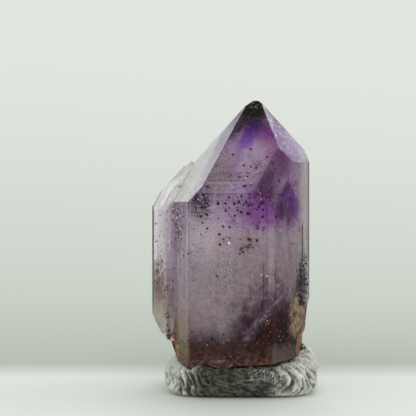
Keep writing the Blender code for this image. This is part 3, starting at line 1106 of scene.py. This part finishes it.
def milk(paint, upper):
    """Milk close below a front face, fading out above the given pixel row."""
    left = paint.columns(*LEFT_COLUMNS, 0.6) * paint.rows(*LEFT_ROWS, 2)
    below = paint.spot(*BELOW_PHANTOM)
    heart = paint.spot(*HEART_PLACE)
    smoke = paint.spot(*SMOKE_CORNER) * 0.6
    dark = paint.spot(*DARK_CORNER).math("MAXIMUM", smoke)
    dark = dark.math("MAXIMUM", paint.spot(*ARROW_PLACE))
    pale = paint.spot(*PALE_PLACE, 0.8)
    mottled = paint.cloud(1.1, 0.35, 0.65, 8.0)
    upper_cap = paint.spot(*UPPER_CAP)
    upper_front = paint.spot(*UPPER_FRONT, 0.8).math("MAXIMUM", upper_cap)
    low = 1 - paint.height.rise(*(height_at(y) for y in LOW_ROWS))
    tone = paint.mix(paint.rows(*VIOLET_ROWS, 1), MAUVE_MILK, VIOLET_MILK)
    tone = paint.mix((left + pale).math("MINIMUM", 1.0) * 0.6, tone, PALE_MILK)
    tone = paint.mix(heart, tone, HEART_MILK)
    tone = paint.mix(paint.spot(*PLUM_STREAK_PLACE, 0.8) * 0.8, tone, PLUM_MILK)
    tone = paint.mix(low * 0.6, tone, LOW_MILK)
    cover = mottled * 0.24 + left * 0.12 + below * 0.16 + pale * 0.3 + upper_front * 0.26 + 0.4
    near_corner = paint.shade.along(paint.place, CORNER_NORMAL).rise(*CORNER_FADE) * 0.9
    strip = paint.columns(*CLEAR_COLUMNS, 0.3) * 0.75
    cover = cover * (1 - near_corner) * (1 - dark) * (1 - strip)
    return tone, cover * paint.rows(upper, LOWEST_MILK_ROW, 3.2)


layer("front_milk", FRONT, 0.7, lambda paint: milk(paint, 80), margin=0.05, seed=64.0)
layer("cap_milk", FRONT_CAP, 0.7, lambda paint: milk(paint, 150), margin=0.05, seed=65.0)
layer("right_milk", FRONT_RIGHT, 0.7, lambda paint: milk(paint, 80), margin=0.4, seed=66.0)

# %% [markdown]
# The iron dust lies in thin layers right below the front faces. Dark red and black dots are
# thickest in the violet, black grains crowd at the left edge, and white grains sparkle
# between them. The share of the Voronoi cells that hold a dot changes from place to place.

# %% Dust
SMOKE = (0.035, 0.03, 0.03)
GRIT = (0.1, 0.05, 0.09)
RED_BLACK = (0.07, 0.004, 0.008)
BEIGE = (0.62, 0.5, 0.42)
CHALK = (0.95, 0.91, 1.0)
DUSTY_VIOLET = (240, 200, 110, 100)
DUSTY_LEFT = (181, 240, 12, 90)
DARK_LOWER_RIGHT = (272, 330, 110, 110)
SMOKE_PLACE = (201, 203, 26, 44)
PIT_SMOKE = (304, 276, 14, 60)
FOG_PLACE = (214, 180, 30, 36)
BEIGE_PLACE = (219, 168, 26, 60)
BRIGHT_LEFT = (203, 212, 44, 56)
BRIGHT_MIDDLE = (227, 262, 22, 66)


def dust(paint):
    """Red and black dots, grit, smoke, and white chalk between them."""
    anywhere = paint.cloud(0.25, 0.3, 0.8)
    share = paint.spot(*DUSTY_VIOLET) * 0.42 + anywhere * 0.12 + paint.spot(*DUSTY_LEFT) * 0.4
    red = paint.dots(1.1, 0.27, share)
    grit = paint.cloud(3.4, 0.56, 0.7, 3.0) * 0.45
    darker = paint.spot(*DARK_LOWER_RIGHT).math("MAXIMUM", 1 - paint.height.rise(4, 10))
    chalk = paint.cloud(2.7, 0.54, 0.7, 3.0) * (1 - darker) * 0.45
    smoke_place = paint.spot(*SMOKE_PLACE)
    pit_place = paint.spot(*PIT_SMOKE)
    smoke = paint.dots(2.6, 0.2, (smoke_place * 0.4 + pit_place * 0.9).math("MINIMUM", 1.0))
    fog_place = smoke_place.math("MAXIMUM", paint.spot(*FOG_PLACE))
    fog = fog_place * paint.cloud(1.8, 0.42, 0.62) * 0.15
    beige = paint.spot(*BEIGE_PLACE) * paint.cloud(1.1, 0.4, 0.6) * 0.5
    bright_place = paint.spot(*BRIGHT_LEFT) * 0.5 + paint.spot(*BRIGHT_MIDDLE) * 0.3
    bright = paint.dots(2.0, 0.15, bright_place + anywhere * 0.07)
    tone = paint.mix((smoke + fog * 3).math("MINIMUM", 1.0), GRIT, SMOKE)
    tone = paint.mix(red, tone, RED_BLACK)
    tone = paint.mix(beige.rise(0, 0.2), tone, BEIGE)
    tone = paint.mix((bright + chalk).math("MINIMUM", 1.0), tone, CHALK)
    return tone, red + smoke + fog + beige + bright + grit + chalk


for number, depth in enumerate((0.3, 0.9, 1.9)):
    layer(f"front_dust_{number}", FRONT, depth, dust, margin=0.06, seed=11.0 + number)
    layer(f"cap_dust_{number}", FRONT_CAP, depth, dust, margin=0.06, seed=21.0 + number)
for number, depth in enumerate((0.3, 1.1)):
    layer(f"right_dust_{number}", FRONT_RIGHT, depth, dust, margin=0.4, seed=31.0 + number)
    layer(f"left_dust_{number}", FRONT_LEFT, depth, dust, margin=0.3, seed=41.0 + number)
    layer(f"corner_dust_{number}", CORNER, depth, dust, margin=0.06, seed=51.0 + number)

# %% [markdown]
# The plate at the left is thin and nearly clear, so it has a boundary of its own, read from
# the model, and only a faint bloom. Two sheets below its side and one below its front give
# that some depth. Iron has seeped into its lower half: yellow at the foot,
# red-brown above it, with dark dots.

# %% Bloom and iron in the plate
PLATE_MILK = (0.86, 0.74, 0.88)
PLATE_YELLOW = (0.66, 0.5, 0.2)
PLATE_IRON = (0.42, 0.22, 0.13)
PLATE_BLACK = (0.05, 0.006, 0.006)
IRON_PLACE = (160, 284, 17, 58)
YELLOW_PLACE = (160, 314, 24, 64)
DOTTED_PLACE = (158, 250, 20, 90)
MILKY_COLUMNS = (164, 176)
BESIDE_PLATE = (Vector((1, 0, 0)), across_at(175))
PLATE_FOOT_CHIP = (Vector((-0.917, 0, -0.399)), 9.5)


def reaches_by_area(normal):
    """How far out the model's faces of this direction lie, the largest face first."""
    found = faces_towards(normal)
    return sorted(found, key=lambda out: -sum(face.area for face in found[out]))


PLATE = [
    (WALLS[5], reaches_by_area(WALLS[5])[1]),
    (WALLS[0], reaches_by_area(WALLS[0])[1]),
    (WALLS[4], reaches_by_area(WALLS[4])[0]),
    (CAPS[5], reaches_by_area(CAPS[5])[1]),
    PLATE_FOOT_CHIP,
]
PLATE_SIDE, PLATE_FRONT = 0, 1
print("plate faces lie out at", [round(reach, 1) for _, reach in PLATE[:4]])


def bloom(paint):
    """Faint mauve milk, yellow to brown iron stain low down, and dark dots."""
    iron = paint.spot(*IRON_PLACE) * paint.cloud(1.3, 0.36, 0.56)
    yellow = paint.spot(*YELLOW_PLACE) * 0.7
    red = paint.dots(1.2, 0.25, iron * 0.8 + paint.spot(*DOTTED_PLACE) * 0.3)
    milky = paint.cloud(0.5, 0.3, 0.7) * 0.2 + paint.columns(*MILKY_COLUMNS, 1) * 0.12 + 0.06
    tone = paint.mix(yellow, PLATE_MILK, PLATE_YELLOW)
    tone = paint.mix(iron, tone, PLATE_IRON)
    tone = paint.mix(red, tone, PLATE_BLACK)
    return tone, milky + iron * 0.6 + yellow * 0.42 + red


def bloom_layer(name, facing, depth, margin, seed, boundary):
    layer(name, facing, depth, bloom, margin=margin, low=6.5, seed=seed, boundary=boundary)


bloom_layer("plate_bloom", PLATE_SIDE, 0.5, 0.2, 71.0, PLATE)
bloom_layer("plate_bloom_back", PLATE_SIDE, 1.6, 0.2, 72.0, PLATE)
bloom_layer("plate_front_bloom", PLATE_FRONT, 0.4, 0.12, 73.0, PLATE + [BESIDE_PLATE])

# %% [markdown]
# The lower right is dark plum with iron in it, and the whole foot is mottled red-brown with
# ochre flecks. The upper limit of the brown is ragged, so its height is moved by streaks
# and clouds before it is used.

# %% Iron mottling in the lower right
MOTTLE_DARK = (0.05, 0.018, 0.012)
MOTTLE_RED = (0.24, 0.095, 0.05)
MOTTLE_BLACK = (0.02, 0.01, 0.01)
FLECK_OCHRE = (0.5, 0.32, 0.12)
MOTTLE_PLUM = (0.2, 0.08, 0.14)
MOTTLE_DEEP = (0.09, 0.022, 0.026)
WISP_MAUVE = (0.36, 0.24, 0.27)
SEEPED_OCHRE = (0.36, 0.2, 0.05)
MOTTLE_PLACE = (278, 340, 98, 74)
PLUM_FIELD = (274, 306, 94, 90)
LEFT_FOOT = (187, 350, 22, 44)
BASE_FADE = (0.5, 5)


def mottle(paint):
    """Dark plum and iron in the lower right, red-brown with ochre flecks along the foot."""
    place = paint.spot(*MOTTLE_PLACE)
    plum = paint.spot(*PLUM_FIELD) * 0.58
    ragged = paint.height - paint.streaks(0.3, 0.7) * 2.4 - paint.cloud(0.6, 0.3, 0.7) * 1.6
    base = 1 - ragged.rise(*BASE_FADE)
    ochre = paint.cloud(1.6, 0.56, 0.66)
    dark = paint.cloud(0.7, 0.4, 0.6)
    left_foot = paint.spot(*LEFT_FOOT) * ochre
    wisps = paint.cloud(1.2, 0.5, 0.7)
    flecks = paint.cloud(3.2, 0.62, 0.7) * 0.8
    red_brown = paint.mix(paint.cloud(2.6, 0.42, 0.6), MOTTLE_DARK, MOTTLE_RED)
    red_brown = paint.mix(paint.cloud(0.9, 0.4, 0.62) * 0.7, red_brown, MOTTLE_BLACK)
    red_brown = paint.mix(flecks, red_brown, FLECK_OCHRE)
    tone = paint.mix(place, MOTTLE_PLUM, MOTTLE_DEEP)
    tone = paint.mix(wisps * 0.4, tone, WISP_MAUVE)
    tone = paint.mix(base * 0.85, tone, red_brown)
    tone = paint.mix((ochre * place * 0.7 + left_foot) * 0.85, tone, SEEPED_OCHRE)
    cover = place * (dark * 0.3 + ochre * 0.25 + 0.55) + plum + base * (dark * 0.4 + 0.5)
    return tone, cover + left_foot * 0.8


layer("front_mottle", FRONT, 1.5, mottle, margin=0.4, low=2.6, seed=81.0)
layer("right_mottle", FRONT_RIGHT, 1.5, mottle, margin=0.4, low=3.2, seed=82.0)

# %% [markdown]
# The larger specks are real bodies: tiny plates joined in one mesh per kind. A ray from the
# camera finds where each one lies, so it shows at the pixel where the photo has it. Where
# the photo has a crowd of them, they are scattered about its middle pixel, with a seed.

# %% Tools for specks
def speck_material(name, dark, light, roughness=0.5):
    shade = Shade(name)
    tone = shade.noise(shade.place(), 1.3, 3)
    colour = shade.mix(tone.rise(0.4, 0.6), dark, light)
    return shade.finish(shade.surface(Base_Color=colour, Roughness=roughness))


def dice_axis(dice):
    return Vector([dice.uniform(-1, 1) for _ in range(3)]).normalized()


def add_plate(bm, centre, size, dice):
    """One irregular plate, thinner than it is wide."""
    turn = Matrix.Rotation(dice.uniform(0, 2 * math.pi), 4, dice_axis(dice))
    made = bmesh.ops.create_icosphere(bm, subdivisions=1, radius=size * MM / 2)
    shape = turn @ Matrix.Diagonal((1, dice.uniform(0.6, 1.3), dice.uniform(0.35, 0.7), 1))
    bmesh.ops.transform(bm, verts=made["verts"], matrix=Matrix.Translation(centre) @ shape)


def specks(name, spots, material):
    """Plates at (x pixel, y pixel, depth mm, size mm)."""
    bm = bmesh.new()
    dice = random.Random(name)
    for x, y, depth, size in spots:
        centre = seen_at(x, y, depth)
        if centre is not None:
            add_plate(bm, centre, size, dice)
    return add_piece(name, bm, [material])


def scatter(seed, count, pixel, spread, depths, sizes):
    """Seeded spots round a pixel, thinning outwards."""
    dice = random.Random(seed)
    return [
        (
            dice.gauss(pixel[0], spread[0]),
            dice.gauss(pixel[1], spread[1]),
            dice.uniform(*depths),
            dice.triangular(*sizes),
        )
        for _ in range(count)
    ]


def crowds(*places):
    """The spots of several crowds, one after the other."""
    return [spot for place in places for spot in scatter(*place)]


# %% [markdown]
# Dark red iron specks are thickest in the violet field, run down the left face and line the
# joint of the plate. A crowd is (seed, count, middle pixel, spread in pixels, range of
# depths in mm, range and peak of sizes in mm), and single specks are (x, y, depth, size).

# %% Iron specks
VIOLET_FIELD = (1, 80, (238, 200), (26, 24), (0.15, 1.2), (0.2, 0.55, 0.3))
ABOVE_HEART = (2, 26, (252, 208), (12, 9), (0.15, 0.7), (0.3, 0.6, 0.4))
LEFT_FACE = (3, 34, (180, 240), (4, 26), (0.1, 0.6), (0.2, 0.5, 0.3))
LOWER_FRONT = (4, 26, (232, 300), (30, 26), (0.2, 1.6), (0.2, 0.4, 0.25))
RIGHT_PITS = (21, 46, (303, 277), (3, 10), (0.1, 0.8), (0.2, 0.5, 0.3))
PLATE_JOINT = (25, 34, (166, 303), (1.6, 13), (0.05, 0.5), (0.2, 0.5, 0.3))
SINGLE_IRON = [
    (251, 149, 0.4, 0.6),
    (249, 239, 0.25, 0.6),
    (243, 252, 0.25, 0.5),
    (234, 204, 0.3, 0.55),
]
dark_red = speck_material("iron_specks", (0.015, 0.003, 0.003), (0.15, 0.01, 0.012))
spots = crowds(VIOLET_FIELD, ABOVE_HEART, LEFT_FACE, LOWER_FRONT, RIGHT_PITS, PLATE_JOINT)
specks("iron_specks", spots + SINGLE_IRON, dark_red)

# %% [markdown]
# Bright flecks are tiny cracks and bubbles that flash. Nearly white grains with a soft
# gloss stand for the flash. They follow a trail down the middle and crowd at the left, and
# a few lie right in the surface, with a depth just above it.

# %% Bright flecks
SMOKY_EDGE = (7, 54, (202, 211), (8, 12), (0.15, 0.7), (0.18, 0.45, 0.22))
TRAIL = (8, 50, (227, 262), (3.5, 16), (0.15, 0.7), (0.2, 0.66, 0.3))
LEFT_WISP = (9, 30, (197, 249), (4, 2.5), (0.15, 0.6), (0.2, 0.6, 0.3))
TRAIL_END = (18, 30, (229, 284), (4, 3), (0.15, 0.6), (0.16, 0.45, 0.22))
LEFT_FACE_TOP = (19, 20, (180, 222), (3, 14), (0.1, 0.4), (0.2, 0.5, 0.25))
PITS = (16, 16, (303, 272), (3, 9), (0.1, 0.6), (0.16, 0.36, 0.2))
TRAIL_SURFACE = (23, 12, (227, 258), (4, 14), (-0.02, 0.0), (0.12, 0.3, 0.16))
SMOKY_SURFACE = (24, 12, (205, 213), (8, 9), (-0.02, 0.0), (0.12, 0.3, 0.16))
TRAIL_FLASHES = [(229, 243, -0.02, 0.5), (228, 269, -0.02, 0.4), (232, 285, -0.02, 0.35)]
SIDE_FLASHES = [(261, 275, -0.02, 0.36), (267, 276, -0.02, 0.36), (177, 217, -0.02, 0.4)]
CAP_FLASHES = [(251, 183, -0.02, 0.36), (246, 178, 0.1, 0.35), (243, 174, 0.1, 0.35)]
silver = speck_material("silver_flecks", (0.75, 0.75, 0.8), (1, 1, 1), 0.25)
spots = crowds(SMOKY_EDGE, TRAIL, LEFT_WISP, TRAIL_END, LEFT_FACE_TOP) + TRAIL_FLASHES
spots += crowds(PITS) + SIDE_FLASHES + CAP_FLASHES
spots += crowds(TRAIL_SURFACE, SMOKY_SURFACE)
specks("silver_flecks", spots, silver)

# %% [markdown]
# A little branched growth of rust hangs in the middle of the front, and the same rust sits
# in the plate and at its chipped foot. Each branch is a row of grains from one pixel to
# another, shaken a little by a sine.

# %% Rust grains
RUST_CLUMPS = [(248, 240, 0.2, 0.6), (251, 240, 0.2, 0.4), (217, 276, 0.3, 0.45)]
RUST_BRANCHES = [
    ((240, 248), (254, 245), 9),
    ((241, 247), (240, 254), 6),
    ((247, 247), (255, 249), 5),
]
RUST_DEPTH = 0.2
PLATE_RUST = (10, 60, (160, 283), (3.2, 9), (0.02, 0.5), (0.2, 0.65, 0.35))
PLATE_FOOT = (11, 16, (168, 332), (4, 4), (0.05, 0.8), (0.2, 0.5, 0.3))
PLATE_CHIP = (22, 18, (170, 336), (2.4, 4), (0.0, 0.25), (0.2, 0.7, 0.4))
PLATE_TOP = (17, 8, (180, 186), (1.6, 0.8), (0.05, 0.3), (0.3, 0.5, 0.35))


def branch(start, end, count):
    """A row of grains between two pixels."""
    row = []
    for i in range(count):
        share = i / count
        x = start[0] + (end[0] - start[0]) * share + math.sin(7 * i)
        y = start[1] + (end[1] - start[1]) * share + math.cos(5 * i)
        row.append((x, y, RUST_DEPTH, 0.38 + 0.14 * math.sin(3 * i)))
    return row


rust = speck_material("rust_grains", (0.04, 0.012, 0.008), (0.4, 0.12, 0.025))
spots = RUST_CLUMPS + [spot for ends in RUST_BRANCHES for spot in branch(*ends)]
spots += crowds(PLATE_RUST, PLATE_FOOT, PLATE_CHIP, PLATE_TOP)
specks("rust_grains", spots, rust)

# %% [markdown]
# Ochre grains are strewn through the dark lower right and the left foot. Pale tan ones show
# as a small cloud high up and as dirt in the worn tip.

# %% Ochre and tan grains
LOWER_RIGHT_OCHRE = (12, 70, (272, 336), (18, 12), (0.2, 2.5), (0.2, 0.55, 0.3))
LEFT_FOOT_OCHRE = (13, 36, (185, 348), (2, 8), (0.1, 0.6), (0.2, 0.5, 0.3))
TAN_CLOUD = (14, 26, (257, 163), (3, 3), (0.2, 0.8), (0.2, 0.4, 0.25))
TIP_DIRT = (15, 34, (254, 107), (5, 5), (-0.05, 0.02), (0.1, 0.26, 0.14))
ochre = speck_material("ochre_grains", (0.3, 0.15, 0.03), (0.62, 0.4, 0.12))
specks("ochre_grains", crowds(LOWER_RIGHT_OCHRE, LEFT_FOOT_OCHRE), ochre)
tan = speck_material("tan_grains", (0.14, 0.11, 0.07), (0.52, 0.45, 0.33))
specks("tan_grains", crowds(TAN_CLOUD, TIP_DIRT), tan)

# %% [markdown]
# The healed break is a crack that closed again and left tiny bubbles. It crosses the lower
# right of the stone and rises to the right, pale violet against the brown behind it. It is
# painted on one layer below each of the two faces, as a band between two pixels.

# %% Healed break
BUBBLE_VIOLET = (0.5, 0.36, 0.7)
BUBBLE_PALE = (0.85, 0.76, 0.95)
LOWER_BREAK = {"first": (243, 342), "second": (273, 303), "width": 1.9, "strength": 1.0}
UPPER_BREAK = {"first": (272, 305), "second": (300, 280), "width": 0.5, "strength": 1.5}


def healed(paint, first, second, width, strength):
    """A ragged band of bubbles from one pixel to another."""
    run = across_at(second[0]) - across_at(first[0])
    climb = height_at(second[1]) - height_at(first[1])
    along = (paint.across - across_at(first[0])) * (1 / run)
    off = paint.height - height_at(first[1]) - along * climb
    wobble = (paint.shade.noise(paint.seeded, 0.7, 6, 0.65) - 0.5) * (width * 1.5)
    near = 1 - (off + wobble).math("ABSOLUTE").rise(width * 0.2, width)
    fine = paint.cloud(2.4, 0.4, 0.6)
    tone = paint.mix(fine, BUBBLE_VIOLET, BUBBLE_PALE)
    cover = (fine * 0.2 + 0.24) * paint.cloud(0.6, 0.2, 0.6) * along.within(0.12, 0.92, 0.2)
    return tone, near * cover * strength


def healed_layer(name, facing, depth, seed, band):
    layer(name, facing, depth, lambda paint: healed(paint, **band), margin=0.2, seed=seed)


healed_layer("healed_break_front", FRONT, 0.5, 91.0, LOWER_BREAK)
healed_layer("healed_break_right", FRONT_RIGHT, 0.4, 92.0, UPPER_BREAK)

# %% [markdown]
# The putty was rolled, pressed and pulled by fingers. A voxel remesh gives it even faces,
# and noise moves them: broad dents all over, and drawn-out wrinkles that run up its ends.
# The height of each fold is kept with its vertex, so the material can paint shade into the valleys
# and light onto the ridges.

# %% Putty mesh
PUTTY_VOXEL = 0.16 * MM
ENDS_FROM, ENDS_LENGTH = 4, 4
WRINKLES = 11
RIDGE_SHARPNESS = 2.4
RIDGE_LEVEL = 0.55
MIDDLE_PULL, END_PULL = 0.12, 0.6
FIBRE_HEIGHT, DENT_HEIGHT, GRAIN_HEIGHT = 0.22, 0.12, 0.1
STILL_BELOW = 0.8


def even_putty():
    """The model's pad with even faces."""
    source = bpy.data.objects.new("putty_source", cad_putty.data.copy())
    bpy.context.scene.collection.objects.link(source)
    remesh = source.modifiers.new("even", "REMESH")
    remesh.mode = "VOXEL"
    remesh.voxel_size = PUTTY_VOXEL
    graph = bpy.context.evaluated_depsgraph_get()
    bm = bmesh.new()
    bm.from_mesh(source.evaluated_get(graph).to_mesh())
    bpy.data.objects.remove(source)
    bm.normal_update()
    return bm


def putty_mesh():
    bm = even_putty()
    # The fold height, which the material uses for painted shade in the valleys and painted light
    # on the ridges.
    fold = bm.verts.layers.float.new("fold")
    for vert in bm.verts:
        at = vert.co / MM
        angle = math.atan2(at.y, at.x)
        ends = min(1, max(0, (abs(at.x) - ENDS_FROM) / ENDS_LENGTH))
        middle_share = 1 - ends
        pull = angle * WRINKLES + 0.7 * math.sin(at.z * 0.8 + at.x * 0.3)
        along_pull = Vector((pull, at.z * 0.22, 3))
        ridge = 1 - RIDGE_SHARPNESS * abs(noise.fractal(along_pull, 0.9, 2.0, 3))
        fibre = noise.fractal(Vector((at.x * 0.9 + at.z, at.y * 0.9, at.z * 2.6)), 0.6, 2.0, 4)
        dents = noise.fractal(at * 0.5, 0.9, 2.0, 3)
        grain = noise.fractal(at * 1.9, 0.6, 2.1, 4)
        move = (MIDDLE_PULL + END_PULL * ends) * (ridge - RIDGE_LEVEL)
        move += FIBRE_HEIGHT * middle_share * fibre
        move += DENT_HEIGHT * dents + GRAIN_HEIGHT * grain
        vert[fold] = ridge * ends + (0.5 + 0.9 * fibre) * middle_share + 0.3 * grain
        above_floor = min(1, at.z / STILL_BELOW)
        vert.co += vert.normal * move * above_floor * MM
    for face in bm.faces:
        face.smooth = True
    return bm


# %% [markdown]
# Putty is matte and grey-green. Its light and shade are painted into its colour: its pulled
# ends and its upper rim are a pale, lit copy, and its middle below the stone is a nearly black
# copy, as painted shadow of the stone. A chalky smear lies across the right half of the front.

# %% Putty material
# Painted light and shade: a lit copy of the putty colour and a shadowed copy of it.
LIT_VALLEY, LIT_FOLD = (0.14, 0.15, 0.1), (0.76, 0.78, 0.68)
SHADOWED_VALLEY, SHADOWED_FOLD = (0.018, 0.022, 0.014), (0.11, 0.12, 0.085)
SMEAR = (0.78, 0.8, 0.75)
SHADOW_MIDDLE = 1.2
LIT_ENDS_FADE = (5, 8.5)
RIM_FADE = (2.8, 5.5)
SMEAR_ACROSS, SMEAR_HEIGHT = (2, 10), (-0.6, 1.6)


def putty():
    shade = Shade("putty")
    place = shade.place()
    across, _, height = shade.split(place)
    patches = shade.noise(place, 0.25, 5, 0.6)
    grain = shade.noise(place, 3.2, 7, 0.7)
    fibres = shade.noise(shade.stretch(place, (5, 5, 0.7)), 1.0, 4)
    attribute = shade.node("ShaderNodeAttribute", {"attribute_name": "fold"}, out="Fac")
    # Painted shade in the valleys of the folds and painted light on their ridges, from the fold
    # height.
    tone = (patches * 0.3 + grain * 0.3 + attribute * 0.4).rise(0.3, 0.72)
    # Painted light on the ends and the upper rim, and painted shadow of the stone over the middle.
    ends = (across + SHADOW_MIDDLE).math("ABSOLUTE").rise(*LIT_ENDS_FADE)
    ends = ends + (height + patches * 3).rise(*RIM_FADE) * 0.35
    light = shade.mix(tone, LIT_VALLEY, LIT_FOLD)
    dark = shade.mix(tone, SHADOWED_VALLEY, SHADOWED_FOLD)
    colour = shade.mix(ends.math("MINIMUM", 1.0), dark, light)
    smear = across.within(*SMEAR_ACROSS, 1.5) * height.within(*SMEAR_HEIGHT, 0.6)
    smear = smear * fibres.rise(0.5, 0.64)
    colour = shade.mix(smear * grain.rise(0.4, 0.6), colour, SMEAR)
    normal = shade.bump(grain * 0.6 + fibres * 0.7, 0.12 * MM, 0.8)
    return shade.finish(shade.surface(Base_Color=colour, Roughness=0.85, Normal=normal))


pad = add_piece("grey_putty", putty_mesh(), [putty()])
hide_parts("putty_pad")

# %% [markdown]
# The stage is a plain pale floor whose tone changes gently with distance. It is a wedge,
# narrow near the stone and wide far away, where it fills the camera's view. The narrow part
# keeps it out of the mirror image in the stone's right wall.

# %% Floor
HALF_WAY = 0.15
FLOOR_NEAR = (-0.3, 0.055)
FLOOR_FAR = (3.0, 0.36)
FLOOR_TONES = [
    (0.05, (0.72, 0.77, 0.72)),
    (0.12, (0.42, 0.46, 0.395)),
    (0.36, (0.52, 0.57, 0.505)),
    (0.6, (0.6, 0.635, 0.59)),
    (0.87, (0.705, 0.745, 0.7)),
]


def floor_material():
    shade = Shade("floor")
    away = shade.split(shade.node("ShaderNodeTexCoord", out="Object"))[1].math("MAXIMUM", 0)
    far = away / (away + HALF_WAY)
    colour = shade.node("ShaderNodeValToRGB", {"stops": FLOOR_TONES}, {"Fac": far})
    return shade.finish(shade.surface(Base_Color=colour, Roughness=0.7))


floor_bm = bmesh.new()
bmesh.ops.create_grid(floor_bm, x_segments=1, y_segments=1, size=1)
for vert in floor_bm.verts:
    away, half_width = FLOOR_FAR if vert.co.y > 0 else FLOOR_NEAR
    vert.co = Vector((vert.co.x * half_width, away, 0))
floor_mesh = bpy.data.meshes.new("floor")
floor_bm.to_mesh(floor_mesh)
floor_bm.free()
floor = bpy.data.objects.new("floor", floor_mesh)
bpy.context.scene.collection.objects.link(floor)
floor_mesh.materials.append(floor_material())
print("floor reaches from", FLOOR_NEAR[0], "to", FLOOR_FAR[0], "m")

# %% [markdown]
# The light is soft: a wide lamp overhead, a little behind the stone, a faint one at the
# right, and an even pale world, which the next step makes.

# %% Light
def add_lamp(name, place, target, size, power):
    lamp = bpy.data.lights.new(name, "AREA")
    lamp.size = size
    lamp.energy = power
    made = bpy.data.objects.new(name, lamp)
    bpy.context.scene.collection.objects.link(made)
    made.location = place
    made.rotation_euler = (Vector(target) - Vector(place)).to_track_quat("-Z", "Y").to_euler()
    print(name, power, "W")


add_lamp("top_lamp", place=(0.1, 0.9, 1.3), target=(0, 0, 0), size=0.9, power=5.3)
add_lamp("right_lamp", place=(0.5, 0.15, 0.35), target=(0, 0, 0.01), size=0.25, power=0.5)

# %% [markdown]
# A polished face mirrors whatever lies where it reflects the camera's look. A pale world in
# that mirror lays a grey veil over the inside of the stone. So the world has one soft dark
# spot for each big face that we look at, like a dark card hung up beside the stone.

# %% Dark cards in the world
FRONT_GLOW = (1.08, 1.06, 1.08)
BACK_GLOW = (0.87, 0.89, 0.865)
FRONT_TO_BACK = (-0.9, 0.2)
CARDS = [
    (WALLS[0], 0.15),
    (WALLS[1], 0.2),
    (WALLS[5], 0.7),
    (CORNER_NORMAL, 0.3),
    (CAPS[0], 0.3),
]
CARD_TONE = 0.85
CARD_EDGE = (math.cos(math.radians(22)), math.cos(math.radians(12)))


class Studio(Shade):
    """The nodes of the world, drawn with the same helpers as a material's."""

    def __init__(self, name):
        world = bpy.data.worlds.new(name)
        bpy.context.scene.world = world
        world.use_nodes = True
        self.tree = world.node_tree
        self.tree.nodes.clear()
        self.output = self.tree.nodes.new("ShaderNodeOutputWorld")


def mirrored(normal):
    """Where the camera looks when this face mirrors it, in the row frame."""
    return LOOK.reflect((TO_ROW.to_3x3() @ normal).normalized())


studio = Studio("studio")
direction = studio.node("ShaderNodeTexCoord", out="Generated")
glow = studio.mix(studio.split(direction)[1].rise(*FRONT_TO_BACK), FRONT_GLOW, BACK_GLOW)
for normal, share in CARDS:
    near = studio.along(direction, mirrored(normal)).rise(*CARD_EDGE)
    glow = studio.mix(near, glow, [share * CARD_TONE * part for part in BACK_GLOW])
background = studio.node("ShaderNodeBackground", sockets={"Color": glow})
studio.feed(studio.output.inputs["Surface"], background)
print(len(CARDS), "dark cards in the world")

# %% [markdown]
# Light crosses many sheets inside the stone and is thrown back by its far faces, so it needs
# more bounces than a plain object. The Standard view keeps the pale background's tone.

# %% Bounces and view
scene = bpy.context.scene
scene.view_settings.view_transform = "Standard"
scene.cycles.max_bounces = 24
scene.cycles.transmission_bounces = 20
scene.cycles.transparent_max_bounces = 64
